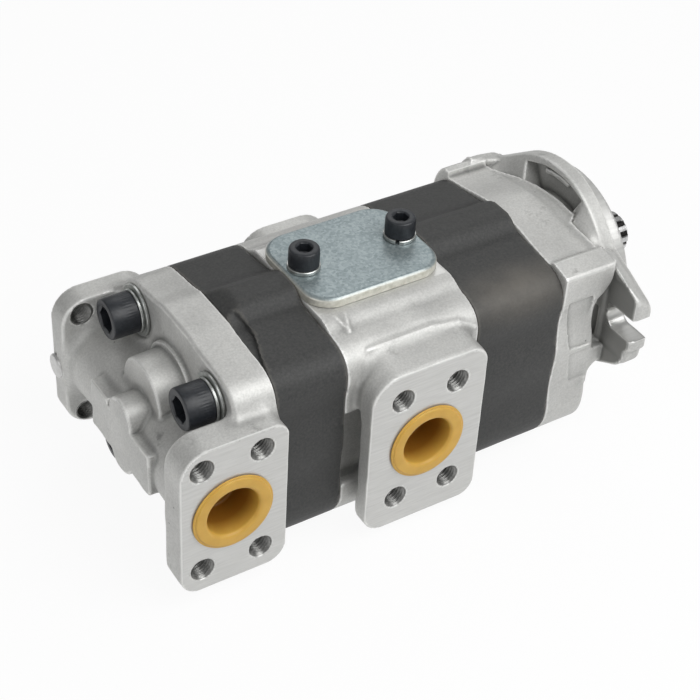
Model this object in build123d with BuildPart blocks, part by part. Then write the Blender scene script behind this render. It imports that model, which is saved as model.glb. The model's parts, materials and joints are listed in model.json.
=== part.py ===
import os
from math import acos, cos, pi, radians, sin, tan

from build123d import *

os.makedirs("parts", exist_ok=True)

# Tandem gear pump. Millimetres. The origin is where the drive shaft axis meets the mounting face.
# X runs along the shaft and out of the shaft end, -Y is the outlet side, +Y the suction side, Z is up.

# Places of the joint faces along the shaft
x_cover_back = -196.0
x_rear_joint = -177.5
x_rear_centre = -145.0
x_centre_front = -82.0
x_front_joint = -38.0
x_plate_back = -7.0

# Casing outline, seen along the shaft: outlet side with y below zero, suction side above
crown_top = 37.3
edge_half = 37.0
edge_top = 30.0
side_out = 49.9
side_waist = 48.7
side_half = 49.5
far_out = 48.7
far_waist = 47.8
far_half = 48.4
bottom = -64.0
bottom_radius = 20.0
corner_top = bottom + bottom_radius

# Gears
gear_module = 3.5
gear_teeth = 10
pressure_angle = radians(25.0)
centre_distance = 35.0
tip_radius = 21.0
root_radius = 13.3
flank_gap = 0.05
cavity_radius = 21.3
port_height = -17.5
chamber_half = 30.0
chamber_tall = 14.0

# Shafts and bushes
journal_radius = 11.0
bush_inner = 11.04
bush_outer = 13.5
bush_bore = 13.52
spline_radius = 9.525
spline_root = 8.0
spline_teeth = 11
shaft_end = 34.0

# Tie bolts and their washers
bolt_places = [(-32.0, 16.4), (32.0, 16.4), (-31.0, -49.5), (31.0, -49.5)]
bolt_radius = 6.0
bolt_clearance = 6.6
bolt_tapped = 6.05
bolt_head_radius = 9.0
bolt_head_tall = 12.0
washer_thick = 2.8
washer_radius = 11.3

# Dowel pins
pin_places = [(-42.0, 4.5), (42.0, -33.0)]
pin_radius = 3.0
pin_hole = 3.02

# Ports
port_radius = 12.7
stud_across = 26.2
stud_along = 52.4
stud_hole = 5.0
rear_port_x = -202.3
rear_suction_x = -200.5
centre_port_x = -113.0
centre_suction_x = -111.5
rear_outlet_face = 60.0
centre_outlet_face = 62.5
suction_face = 60.0

# Mounting flange
pilot_radius = 41.275
pilot_long = 6.35
ear_spacing = 106.4
slot_width = 11.1
ear_end = 64.2


def wavy_side(out, waist, half, start):
    """Shallow waves down one side and round the bottom corner, as far as the middle."""
    Bezier((out, start), (out, start - 4.0), (waist, 9.0), (waist, 5.0))
    Bezier((waist, 5.0), (waist, -1.0), (out, -6.0), (out, -12.0))
    Bezier((out, -12.0), (out, -18.0), (waist, -24.0), (waist, -30.0))
    Bezier((waist, -30.0), (waist, -35.0), (half, -39.0), (half, corner_top))
    turn = bottom_radius if out > 0 else -bottom_radius
    centre = half - turn
    middle = (centre + turn * cos(pi / 4), corner_top - bottom_radius * sin(pi / 4))
    ThreePointArc((half, corner_top), middle, (centre, bottom))
    Line((centre, bottom), (0, bottom))


def near_side():
    """Outlet side below the shoulder."""
    Bezier((-edge_half, edge_top), (-44.0, 29.3), (-side_out, 25.0), (-side_out, 17.0))
    wavy_side(-side_out, -side_waist, -side_half, 17.0)


def far_side():
    """Suction side below the shoulder, which is lower and rounder."""
    Bezier((33.0, 29.2), (41.0, 28.8), (far_out, 21.0), (far_out, 12.0))
    wavy_side(far_out, far_waist, far_half, 12.0)


# Outline of the gear housings, with the low crown on top
with BuildSketch() as gear_section:
    with BuildLine():
        Line((-5.0, crown_top), (1.0, crown_top))
        Bezier((-5.0, crown_top), (-11.0, crown_top), (-12.0, 32.4), (-17.0, 31.9))
        Line((-17.0, 31.9), (-edge_half, edge_top))
        near_side()
        Bezier((1.0, crown_top), (7.0, crown_top), (8.5, 32.8), (14.0, 31.8))
        Line((14.0, 31.8), (33.0, 29.2))
        far_side()
    make_face()

# Outline of the rear cover, without the crown
with BuildSketch() as cover_section:
    with BuildLine():
        Line((-9.0, 33.2), (8.0, 33.2))
        Bezier((-9.0, 33.2), (-14.0, 33.2), (-16.0, 31.8), (-21.0, 31.4))
        Line((-21.0, 31.4), (-edge_half, edge_top))
        near_side()
        Bezier((8.0, 33.2), (12.0, 33.2), (14.0, 31.8), (20.0, 31.0))
        Line((20.0, 31.0), (33.0, 29.2))
        far_side()
    make_face()

# Outline of the centre housing, flat on top under the plate
plate_seat = 33.5
with BuildSketch() as centre_section:
    with BuildLine():
        Line((-26.0, plate_seat), (24.0, plate_seat))
        Bezier((-26.0, plate_seat), (-31.0, plate_seat), (-33.0, 30.6), (-edge_half, edge_top))
        near_side()
        Bezier((24.0, plate_seat), (28.0, plate_seat), (29.0, 29.8), (33.0, 29.2))
        far_side()
    make_face()

# Figure of eight of the gear chamber, with the port chambers on both sides
with BuildSketch() as chamber:
    with Locations((0, 0), (0, -centre_distance)):
        Circle(cavity_radius)
    with Locations((0, port_height)):
        SlotOverall(2 * chamber_half, chamber_tall)

# Outer and inner outline of the face seals round the chamber
seal_wide = 2.4
seal_deep = 1.6


def seal_hull(grow):
    """Stretched outline round both gears and both port chambers, grown by the given amount."""
    with BuildSketch() as hull:
        with BuildLine():
            with Locations((0, 0)):
                CenterArc((0, 0), 24.0 + grow, 0, 360)
                CenterArc((0, -centre_distance), 24.0 + grow, 0, 360)
                CenterArc((24.0, port_height), 10.0 + grow, 0, 360)
                CenterArc((-24.0, port_height), 10.0 + grow, 0, 360)
        make_hull()
    return hull.sketch


with BuildSketch() as seal_face:
    add(seal_hull(seal_wide))
    add(seal_hull(0.0), mode=Mode.SUBTRACT)

with BuildSketch() as seal_groove:
    add(seal_hull(seal_wide + 0.05))
    add(seal_hull(-0.05), mode=Mode.SUBTRACT)


def involute_angle(radius):
    """Half the angle that a tooth takes up at a radius, measured at the gear centre."""
    pitch_radius = gear_module * gear_teeth / 2
    base_radius = pitch_radius * cos(pressure_angle)
    local = acos(min(1.0, base_radius / radius))
    at_pitch = pi / (2 * gear_teeth) - flank_gap / pitch_radius
    return at_pitch + tan(pressure_angle) - pressure_angle - tan(local) + local


def flank_point(radius, side):
    """Point of a tooth flank at a radius, on a tooth that points along +X."""
    angle = side * involute_angle(radius)
    return (radius * cos(angle), radius * sin(angle))


# One involute tooth and the whole gear face, with one tooth pointing down
base_circle = gear_module * gear_teeth / 2 * cos(pressure_angle)
flank_radii = [base_circle + 0.02, 16.8, 18.0, 19.3, 20.3, tip_radius]
with BuildSketch() as tooth:
    with BuildLine():
        Spline(*[flank_point(r, 1) for r in flank_radii])
        ThreePointArc(flank_point(tip_radius, 1), (tip_radius, 0), flank_point(tip_radius, -1))
        Spline(*[flank_point(r, -1) for r in reversed(flank_radii)])
        low = flank_point(base_circle + 0.02, -1)
        high = flank_point(base_circle + 0.02, 1)
        Line(low, (root_radius - 1.0, low[1] * 0.88))
        Line((root_radius - 1.0, low[1] * 0.88), (root_radius - 1.0, high[1] * 0.88))
        Line((root_radius - 1.0, high[1] * 0.88), high)
    make_face()

with BuildSketch() as gear_face:
    Circle(root_radius)
    with PolarLocations(0, gear_teeth, start_angle=-90):
        add(tooth.sketch)

# Rear cover: plate, passage barrel, bosses, outlet block and suction flange in one casting
barrel_radius = 20.0
with BuildPart() as rear_cover:
    with BuildSketch(Plane.YZ.offset(x_cover_back)):
        add(cover_section.sketch)
    extrude(amount=x_rear_joint - x_cover_back)
    fillet(rear_cover.faces().sort_by(Axis.X)[0].edges(), 1.6)
    # Passage barrel along Y
    with BuildSketch(Plane.XZ.offset(47.0)):
        with Locations((-201.0, port_height)):
            Circle(barrel_radius)
    extrude(amount=-97.0)
    # Bearing boss behind the drive shaft
    with BuildSketch(Plane.YZ.offset(-198.0)):
        Circle(19.0)
    extrude(amount=4.0)
    with BuildSketch(Plane.YZ.offset(-211.0)):
        Circle(16.0)
    with BuildSketch(Plane.YZ.offset(-198.0)):
        Circle(16.8)
    loft()
    # Small round boss, upright bar and cross bar of the rear pad
    with BuildSketch(Plane.YZ.offset(-222.0)):
        with Locations((-1.7, -7.0)):
            Circle(9.6)
        with Locations((-1.7, -16.0)):
            SlotOverall(37.2, 19.2, rotation=90)
        with Locations((-1.0, -17.0)):
            RectangleRounded(52.0, 24.0, 2.0)
    extrude(amount=14.0)
    with BuildSketch(Plane.YZ.offset(-222.0)):
        with Locations((17.25, -12.0)):
            RectangleRounded(15.5, 14.0, 1.5)
    extrude(amount=16.0)
    # Outlet block
    with BuildSketch(Plane.XZ.offset(rear_outlet_face)) as rear_block:
        with Locations((-201.2, -18.3)):
            Rectangle(47.4, 73.4)
        fillet(rear_block.vertices().group_by(Axis.X)[0].sort_by(Axis.Y)[-1], 13.0)
        fillet(rear_block.vertices().group_by(Axis.X)[-1].sort_by(Axis.Y)[-1], 7.0)
        fillet(rear_block.vertices().sort_by(Axis.Y)[0:2], 9.0)
    extrude(amount=-14.0)
    # Suction flange on the far side
    with BuildSketch(Plane.XZ.offset(-suction_face)):
        with Locations((-201.0, -17.3)):
            RectangleRounded(44.0, 66.5, 12.5)
    extrude(amount=11.0)
    # Ports, and the passages that lead from them into the gear chamber
    with BuildSketch(Plane.XZ.offset(rear_outlet_face)):
        with Locations((rear_port_x, port_height)):
            Circle(port_radius)
    extrude(amount=-(rear_outlet_face - 20.0), mode=Mode.SUBTRACT)
    with BuildSketch(Plane.XZ.offset(-suction_face)):
        with Locations((rear_suction_x, port_height)):
            Circle(port_radius)
    extrude(amount=suction_face - 20.0, mode=Mode.SUBTRACT)
    with BuildSketch(Plane.YZ.offset(x_rear_joint)):
        with Locations((-25.0, port_height), (25.0, port_height)):
            SlotOverall(chamber_tall, 10.0, rotation=90)
    extrude(amount=-24.0, mode=Mode.SUBTRACT)
    # Bores for the bushes
    with BuildSketch(Plane.YZ.offset(x_rear_joint)):
        with Locations((0, 0), (0, -centre_distance)):
            Circle(bush_bore)
    extrude(amount=-15.0, mode=Mode.SUBTRACT)
    # Tapped holes of both port faces
    with BuildSketch(Plane.XZ.offset(rear_outlet_face)):
        with Locations((rear_port_x, port_height)):
            with GridLocations(stud_across, stud_along, 2, 2):
                Circle(stud_hole)
    extrude(amount=-18.0, mode=Mode.SUBTRACT)
    with BuildSketch(Plane.XZ.offset(-suction_face)):
        with Locations((rear_suction_x, port_height)):
            with GridLocations(stud_across, stud_along, 2, 2):
                Circle(stud_hole)
    extrude(amount=18.0, mode=Mode.SUBTRACT)
    # Seat of the small plug on the edge of the suction flange
    with BuildSketch(Plane.YZ.offset(-224.0)):
        with Locations((54.8, -19.0)):
            Circle(4.52)
    extrude(amount=6.0, mode=Mode.SUBTRACT)
    # Tie bolt holes, with room for the heads and washers
    with BuildSketch(Plane.YZ.offset(x_rear_joint)):
        with Locations(*bolt_places):
            Circle(bolt_clearance)
    extrude(amount=-20.0, mode=Mode.SUBTRACT)
    with BuildSketch(Plane.YZ.offset(x_cover_back)):
        with Locations(*bolt_places):
            Circle(washer_radius + 0.7)
    extrude(amount=-30.0, mode=Mode.SUBTRACT)
    # Dowel pin holes
    with BuildSketch(Plane.YZ.offset(x_rear_joint)):
        with Locations(*pin_places):
            Circle(pin_hole)
    extrude(amount=-5.5, mode=Mode.SUBTRACT)
    # Groove of the face seal
    with BuildSketch(Plane.YZ.offset(x_rear_joint)):
        add(seal_groove.sketch)
    extrude(amount=-seal_deep, mode=Mode.SUBTRACT)
rear_cover.part.label = "rear_cover"
export_step(rear_cover.part, "parts/rear_cover.step")

# Shallow relief in the near shoulder of the rear gear housing, next to the cover
relief_deep = 1.8
with BuildPart() as shoulder_relief:
    with BuildSketch(Plane.XY.offset(24.0)):
        with BuildLine():
            Line((x_rear_joint, -44.0), (x_rear_joint, -7.0))
            Bezier((x_rear_joint, -7.0), (-172.0, -8.0), (-169.5, -16.0), (-172.4, -24.0))
            Bezier((-172.4, -24.0), (-174.6, -31.0), (-176.8, -37.0), (x_rear_joint, -44.0))
        make_face()
    extrude(amount=16.0)
    with BuildSketch(Plane.YZ.offset(x_rear_joint)):
        with Locations((0, -relief_deep)):
            add(gear_section.sketch)
    extrude(amount=12.0, mode=Mode.SUBTRACT)
    # Slope from the crown down to the outline of the cover
    with BuildSketch(Plane.XZ.offset(25.0)):
        with BuildLine():
            Polyline((-177.5, 33.2), (-170.5, 37.6), (-170.5, 41.0), (-177.5, 41.0), (-177.5, 33.2))
        make_face()
    extrude(amount=-50.0)

# Rear gear housing
with BuildPart() as rear_gear_housing:
    with BuildSketch(Plane.YZ.offset(x_rear_joint)):
        add(gear_section.sketch)
        add(chamber.sketch, mode=Mode.SUBTRACT)
        with Locations(*bolt_places):
            Circle(bolt_clearance, mode=Mode.SUBTRACT)
        with Locations(*pin_places):
            Circle(pin_hole, mode=Mode.SUBTRACT)
    extrude(amount=x_rear_centre - x_rear_joint)
    add(shoulder_relief.part, mode=Mode.SUBTRACT)
rear_gear_housing.part.label = "rear_gear_housing"
export_step(rear_gear_housing.part, "parts/rear_gear_housing.step")

# Front gear housing
with BuildPart() as front_gear_housing:
    with BuildSketch(Plane.YZ.offset(x_centre_front)):
        add(gear_section.sketch)
        add(chamber.sketch, mode=Mode.SUBTRACT)
        with Locations(*bolt_places):
            Circle(bolt_clearance, mode=Mode.SUBTRACT)
        with Locations(*pin_places):
            Circle(pin_hole, mode=Mode.SUBTRACT)
    extrude(amount=x_front_joint - x_centre_front)
front_gear_housing.part.label = "front_gear_housing"
export_step(front_gear_housing.part, "parts/front_gear_housing.step")

# Centre housing with the second outlet block and suction flange
screw_places = [(-136.4, 0.0), (-89.7, 0.0)]
with BuildPart() as centre_housing:
    with BuildSketch(Plane.YZ.offset(x_rear_centre)):
        add(centre_section.sketch)
    extrude(amount=x_centre_front - x_rear_centre)
    # Outlet block
    with BuildSketch(Plane.XZ.offset(centre_outlet_face)) as centre_block:
        with Locations((-113.4, -18.25)):
            Rectangle(55.2, 80.5)
        fillet(centre_block.vertices().group_by(Axis.X)[0].sort_by(Axis.Y)[-1], 13.0)
        fillet(centre_block.vertices().group_by(Axis.X)[-1].sort_by(Axis.Y)[-1], 8.0)
        fillet(centre_block.vertices().sort_by(Axis.Y)[0:2].sort_by(Axis.X)[-1], 7.0)
        fillet(centre_block.vertices().sort_by(Axis.Y)[0:2].sort_by(Axis.X)[0], 9.0)
    extrude(amount=-8.5)
    # Neck of the block, open at its lower rear corner
    with BuildSketch(Plane.XZ.offset(centre_outlet_face - 8.0)) as centre_neck:
        with Locations((-113.4, 10.5)):
            Rectangle(55.2, 23.0)
        fillet(centre_neck.vertices().group_by(Axis.X)[0].sort_by(Axis.Y)[-1], 13.0)
        fillet(centre_neck.vertices().group_by(Axis.X)[-1].sort_by(Axis.Y)[-1], 8.0)
        with Locations((-106.4, -28.0)):
            RectangleRounded(41.2, 58.0, 6.0)
    extrude(amount=-12.0)
    # Cored pocket in the near side, behind the block
    with BuildSketch(Plane.XZ.offset(54.0)):
        with Locations((-138.0, -20.5)):
            RectangleRounded(20.0, 38.5, 4.0)
    extrude(amount=-11.5, mode=Mode.SUBTRACT)
    # Suction flange on the far side, with a narrower neck
    with BuildSketch(Plane.XZ.offset(-suction_face)):
        with Locations((centre_suction_x, -17.3)):
            RectangleRounded(44.0, 66.5, 13.0)
    extrude(amount=9.0)
    with BuildSketch(Plane.XZ.offset(-suction_face + 8.0)):
        with Locations((centre_suction_x, -17.3)):
            RectangleRounded(40.0, 56.0, 11.0)
    extrude(amount=8.0)
    # Ports and passages into the first gear chamber
    with BuildSketch(Plane.XZ.offset(centre_outlet_face)):
        with Locations((centre_port_x, port_height)):
            Circle(port_radius)
    extrude(amount=-(centre_outlet_face - 20.0), mode=Mode.SUBTRACT)
    with BuildSketch(Plane.XZ.offset(-suction_face)):
        with Locations((centre_suction_x, port_height)):
            Circle(port_radius)
    extrude(amount=suction_face - 20.0, mode=Mode.SUBTRACT)
    with BuildSketch(Plane.YZ.offset(x_centre_front)):
        with Locations((-25.0, port_height), (25.0, port_height)):
            SlotOverall(chamber_tall, 10.0, rotation=90)
    extrude(amount=-31.0, mode=Mode.SUBTRACT)
    # Bores for the bushes and the coupling sleeve
    with BuildSketch(Plane.YZ.offset(x_rear_centre)):
        Circle(bush_bore)
    extrude(amount=x_centre_front - x_rear_centre, mode=Mode.SUBTRACT)
    with BuildSketch(Plane.YZ.offset(x_rear_centre)):
        with Locations((0, -centre_distance)):
            Circle(bush_bore)
    extrude(amount=20.0, mode=Mode.SUBTRACT)
    with BuildSketch(Plane.YZ.offset(x_centre_front)):
        with Locations((0, -centre_distance)):
            Circle(bush_bore)
    extrude(amount=-20.0, mode=Mode.SUBTRACT)
    # Tapped holes of both port faces
    with BuildSketch(Plane.XZ.offset(centre_outlet_face)):
        with Locations((centre_port_x, port_height)):
            with GridLocations(stud_across, stud_along, 2, 2):
                Circle(stud_hole)
    extrude(amount=-18.0, mode=Mode.SUBTRACT)
    with BuildSketch(Plane.XZ.offset(-suction_face)):
        with Locations((centre_suction_x, port_height)):
            with GridLocations(stud_across, stud_along, 2, 2):
                Circle(stud_hole)
    extrude(amount=18.0, mode=Mode.SUBTRACT)
    # Tie bolt holes and dowel pin holes
    with BuildSketch(Plane.YZ.offset(x_rear_centre)):
        with Locations(*bolt_places):
            Circle(bolt_clearance)
    extrude(amount=x_centre_front - x_rear_centre, mode=Mode.SUBTRACT)
    with BuildSketch(Plane.YZ.offset(x_rear_centre)):
        with Locations(*pin_places):
            Circle(pin_hole)
    extrude(amount=5.5, mode=Mode.SUBTRACT)
    with BuildSketch(Plane.YZ.offset(x_centre_front)):
        with Locations(*pin_places):
            Circle(pin_hole)
    extrude(amount=-5.5, mode=Mode.SUBTRACT)
    # Grooves of the two face seals
    with BuildSketch(Plane.YZ.offset(x_rear_centre)):
        add(seal_groove.sketch)
    extrude(amount=seal_deep, mode=Mode.SUBTRACT)
    with BuildSketch(Plane.YZ.offset(x_centre_front)):
        add(seal_groove.sketch)
    extrude(amount=-seal_deep, mode=Mode.SUBTRACT)
    # Seat of the cover plate: pocket, seal groove and tapped holes
    with BuildSketch(Plane.XY.offset(plate_seat)):
        with Locations((-113.0, 0)):
            RectangleRounded(20.0, 22.0, 5.0)
    extrude(amount=-6.0, mode=Mode.SUBTRACT)
    with BuildSketch(Plane.XY.offset(plate_seat)):
        with Locations((-113.0, 0)):
            RectangleRounded(30.1, 32.1, 8.0)
            RectangleRounded(25.1, 27.1, 6.0, mode=Mode.SUBTRACT)
    extrude(amount=-1.6, mode=Mode.SUBTRACT)
    with BuildSketch(Plane.XY.offset(plate_seat)):
        with Locations(*screw_places):
            Circle(4.05)
    extrude(amount=-15.0, mode=Mode.SUBTRACT)
centre_housing.part.label = "centre_housing"
export_step(centre_housing.part, "parts/centre_housing.step")

# Outline of the flange body, with a rib along each top corner and the low floor between them
with BuildSketch() as flange_section:
    with BuildLine():
        Line((-6.0, 34.4), (4.0, 34.4))
        Bezier((-6.0, 34.4), (-14.0, 34.4), (-24.0, 30.6), (-38.4, 29.2))
        Line((-38.4, 29.2), (-38.8, 32.2))
        Line((-38.8, 32.2), (-42.0, 33.0))
        Line((-42.0, 33.0), (-48.3, 30.0))
        Line((-48.3, 30.0), (-side_out, 28.2))
        Line((-side_out, 28.2), (-side_out, 17.0))
        wavy_side(-side_out, -side_waist, -side_half, 17.0)
        Bezier((4.0, 34.4), (12.0, 34.4), (24.0, 30.2), (38.3, 28.6))
        Line((38.3, 28.6), (38.7, 31.2))
        Line((38.7, 31.2), (41.0, 31.8))
        Bezier((41.0, 31.8), (44.5, 30.8), (far_out, 24.0), (far_out, 15.0))
        wavy_side(far_out, far_waist, far_half, 15.0)
    make_face()

# Outline of the mounting flange plate: round middle drawn out to two ears
with BuildSketch() as ear_outline:
    with BuildLine():
        ThreePointArc((0, 46.8), (-19.5, 40.2), (-34.8, 25.6))
        Line((-34.8, 25.6), (-56.5, 14.9))
        Bezier((-56.5, 14.9), (-60.5, 13.0), (-ear_end, 12.5), (-ear_end, 7.5))
        Line((-ear_end, 7.5), (-ear_end, -9.0))
        Bezier((-ear_end, -9.0), (-ear_end, -12.0), (-61.8, -11.5), (-61.8, -14.5))
        Bezier((-61.8, -14.5), (-61.8, -18.5), (-60.0, -20.7), (-56.5, -22.6))
        Line((-56.5, -22.6), (-21.6, -41.0))
        ThreePointArc((-21.6, -41.0), (2.0, -46.4), (26.1, -39.1))
        Line((26.1, -39.1), (60.5, -15.5))
        Bezier((60.5, -15.5), (62.5, -14.2), (ear_end, -12.5), (ear_end, -9.0))
        Line((ear_end, -9.0), (ear_end, 9.0))
        Bezier((ear_end, 9.0), (ear_end, 12.5), (62.5, 14.2), (60.5, 15.5))
        Line((60.5, 15.5), (26.1, 39.1))
        ThreePointArc((26.1, 39.1), (13.6, 45.1), (0, 46.8))
    make_face()


def arc_band(inner, outer, start, end):
    """Part of a flat ring between two radii and two angles in degrees."""
    low = radians(start)
    high = radians(end)
    with BuildSketch() as band:
        with BuildLine():
            CenterArc((0, 0), outer, start, end - start)
            CenterArc((0, 0), inner, start, end - start)
            Line((outer * cos(low), outer * sin(low)), (inner * cos(low), inner * sin(low)))
            Line((outer * cos(high), outer * sin(high)), (inner * cos(high), inner * sin(high)))
        make_face()
    return band.sketch


x_body_front = -16.5
with BuildPart() as front_flange:
    with BuildSketch(Plane.YZ.offset(x_front_joint)):
        add(flange_section.sketch)
    extrude(amount=x_body_front - x_front_joint)
    # Round the upright front edges of the body
    with BuildSketch(Plane.XY.offset(-70.0)):
        with BuildLine():
            Polyline((-20.5, 53.0), (-15.0, 53.0), (-15.0, 45.5), (x_body_front, 45.5))
            ThreePointArc((x_body_front, 45.5), (-17.3, 48.6), (-20.5, 50.2))
            Line((-20.5, 50.2), (-20.5, 53.0))
        make_face()
        mirror(about=Plane.XZ)
    extrude(amount=84.0, mode=Mode.SUBTRACT)
    # Floor and ribs, which run on to the plate
    with BuildSketch(Plane.YZ.offset(x_body_front)):
        add(flange_section.sketch)
        with Locations((0, -28.0)):
            Rectangle(120.0, 84.0, mode=Mode.SUBTRACT)
    extrude(amount=-12.0 - x_body_front)
    # The ribs run down to the rim of the plate
    with BuildSketch(Plane.XZ.offset(49.7)):
        with BuildLine():
            Polyline((-12.0, 14.0), (-12.0, 29.0), (-6.0, 24.0), (-3.0, 18.0), (-3.0, 14.0), (-12.0, 14.0))
        make_face()
    extrude(amount=-11.0)
    with BuildSketch(Plane.XZ.offset(-48.6)):
        with BuildLine():
            Polyline((-12.0, 14.0), (-12.0, 26.5), (-6.0, 23.5), (-3.0, 21.0), (-3.0, 14.0), (-12.0, 14.0))
        make_face()
    extrude(amount=10.0)
    # Neck and flange plate
    with BuildSketch(Plane.YZ.offset(x_body_front - 1.0)):
        Circle(32.5)
        with Locations((0, -10.0)):
            RectangleRounded(76.0, 50.0, 12.0)
    extrude(amount=12.0)
    with BuildSketch(Plane.YZ.offset(x_plate_back)):
        add(ear_outline.sketch)
    extrude(amount=-x_plate_back)
    # Pads round the mounting slots
    with BuildSketch(Plane.YZ.offset(-10.2)):
        with Locations((ear_spacing / 2, 0), (-ear_spacing / 2, 0)):
            Circle(11.5)
        Rectangle(2 * ear_end, 120.0, mode=Mode.INTERSECT)
    extrude(amount=4.0)
    # Pilot
    with BuildSketch(Plane.YZ):
        Circle(pilot_radius)
    extrude(amount=pilot_long)
    chamfer(front_flange.faces().sort_by(Axis.X)[-1].edges(), 0.8)
    # Clearance for the mounting bolt heads
    with BuildSketch(Plane.YZ.offset(-20.0)):
        with Locations((ear_spacing / 2, 0), (-ear_spacing / 2, 0)):
            Circle(12.5)
    extrude(amount=9.8, mode=Mode.SUBTRACT)
    # Open mounting slots
    with BuildSketch(Plane.YZ.offset(-20.0)):
        with Locations((ear_spacing / 2 + 10.0, 0), (-ear_spacing / 2 - 10.0, 0)):
            SlotOverall(slot_width + 20.0, slot_width)
    extrude(amount=30.0, mode=Mode.SUBTRACT)
    # Cast pocket in the back of the plate, with a low bar in it
    with BuildSketch(Plane.YZ.offset(-3.0)):
        add(arc_band(35.0, 43.0, 62, 114))
    extrude(amount=-4.5, mode=Mode.SUBTRACT)
    with BuildSketch(Plane.YZ.offset(-4.6)):
        add(arc_band(38.6, 41.2, 74, 98))
    extrude(amount=2.0)
    # Shallow panel on both sides of the body
    with BuildSketch(Plane.XY.offset(-8.5)):
        with BuildLine():
            Polyline((-33.0, 49.6), (-20.0, 47.4), (-20.0, 54.0), (-33.0, 54.0), (-33.0, 49.6))
        make_face()
        mirror(about=Plane.XZ)
    extrude(amount=24.5, mode=Mode.SUBTRACT)
    # Bush bores, shaft passage and seal bore with its ring groove
    with BuildSketch(Plane.YZ.offset(x_front_joint)):
        with Locations((0, 0), (0, -centre_distance)):
            Circle(bush_bore)
    extrude(amount=18.0, mode=Mode.SUBTRACT)
    with BuildSketch(Plane.YZ.offset(-22.0)):
        Circle(11.8)
    extrude(amount=32.0, mode=Mode.SUBTRACT)
    with BuildSketch(Plane.YZ.offset(-6.0)):
        Circle(17.52)
    extrude(amount=14.0, mode=Mode.SUBTRACT)
    with BuildSketch(Plane.YZ.offset(2.3)):
        Circle(18.8)
    extrude(amount=1.6, mode=Mode.SUBTRACT)
    # Tapped holes for the tie bolts, dowel pin holes and seal groove
    with BuildSketch(Plane.YZ.offset(x_front_joint)):
        with Locations(*bolt_places):
            Circle(bolt_tapped)
    extrude(amount=19.0, mode=Mode.SUBTRACT)
    with BuildSketch(Plane.YZ.offset(x_front_joint)):
        with Locations(*pin_places):
            Circle(pin_hole)
    extrude(amount=5.5, mode=Mode.SUBTRACT)
    with BuildSketch(Plane.YZ.offset(x_front_joint)):
        add(seal_groove.sketch)
    extrude(amount=seal_deep, mode=Mode.SUBTRACT)
front_flange.part.label = "front_flange"
export_step(front_flange.part, "parts/front_flange.step")

# Cover plate with its seal, screws and spring washers
plate_top = 38.0
with BuildPart() as cover_plate:
    with BuildSketch(Plane.XY.offset(plate_seat)):
        with Locations((-113.5, 0)):
            RectangleRounded(63.0, 50.0, 12.0)
        with Locations(*screw_places):
            Circle(4.5, mode=Mode.SUBTRACT)
    extrude(amount=plate_top - plate_seat)
    chamfer(cover_plate.faces().sort_by(Axis.Z)[-1].outer_wire().edges(), 0.5)
cover_plate.part.label = "cover_plate"
export_step(cover_plate.part, "parts/cover_plate.step")

with BuildPart() as cover_plate_seal:
    with BuildSketch(Plane.XY.offset(plate_seat)):
        with Locations((-113.0, 0)):
            RectangleRounded(30.0, 32.0, 8.0)
            RectangleRounded(25.2, 27.2, 6.0, mode=Mode.SUBTRACT)
    extrude(amount=-1.6)
cover_plate_seal.part.label = "cover_plate_seal"
export_step(cover_plate_seal.part, "parts/cover_plate_seal.step")

with BuildPart() as cover_plate_screws:
    with BuildSketch(Plane.XY.offset(plate_top + 2.0)):
        with Locations(*screw_places):
            Circle(6.5)
    extrude(amount=8.0)
    chamfer(cover_plate_screws.faces().group_by(Axis.Z)[-1].edges(), 0.6)
    with BuildSketch(Plane.XY.offset(plate_top + 10.0)):
        with Locations(*screw_places):
            RegularPolygon(3.0, 6, major_radius=False)
    extrude(amount=-4.5, mode=Mode.SUBTRACT)
    with BuildSketch(Plane.XY.offset(plate_top + 2.0)):
        with Locations(*screw_places):
            Circle(4.0)
    extrude(amount=-20.5)
cover_plate_screws.part.label = "cover_plate_screws"
export_step(cover_plate_screws.part, "parts/cover_plate_screws.step")

with BuildPart() as cover_plate_washers:
    with BuildSketch(Plane.XY.offset(plate_top)):
        with Locations(*screw_places):
            Circle(7.0)
            Circle(4.4, mode=Mode.SUBTRACT)
    extrude(amount=2.0)
cover_plate_washers.part.label = "cover_plate_washers"
export_step(cover_plate_washers.part, "parts/cover_plate_washers.step")

# Tie bolts and washers
x_under_head = x_cover_back - washer_thick
with BuildPart() as tie_bolts:
    with BuildSketch(Plane.YZ.offset(x_under_head)):
        with Locations(*bolt_places):
            Circle(bolt_head_radius)
    extrude(amount=-bolt_head_tall)
    chamfer(tie_bolts.faces().group_by(Axis.X)[0].edges(), 0.9)
    with BuildSketch(Plane.YZ.offset(x_under_head - bolt_head_tall)):
        with Locations(*bolt_places):
            RegularPolygon(5.0, 6, major_radius=False)
    extrude(amount=6.5, mode=Mode.SUBTRACT)
    with BuildSketch(Plane.YZ.offset(x_under_head)):
        with Locations(*bolt_places):
            Circle(bolt_radius)
    extrude(amount=-20.0 - x_under_head)
tie_bolts.part.label = "tie_bolts"
export_step(tie_bolts.part, "parts/tie_bolts.step")

with BuildPart() as tie_bolt_washers:
    with BuildSketch(Plane.YZ.offset(x_cover_back)):
        with Locations(*bolt_places):
            Circle(washer_radius)
            Circle(6.5, mode=Mode.SUBTRACT)
    extrude(amount=-washer_thick)
tie_bolt_washers.part.label = "tie_bolt_washers"
export_step(tie_bolt_washers.part, "parts/tie_bolt_washers.step")

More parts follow.
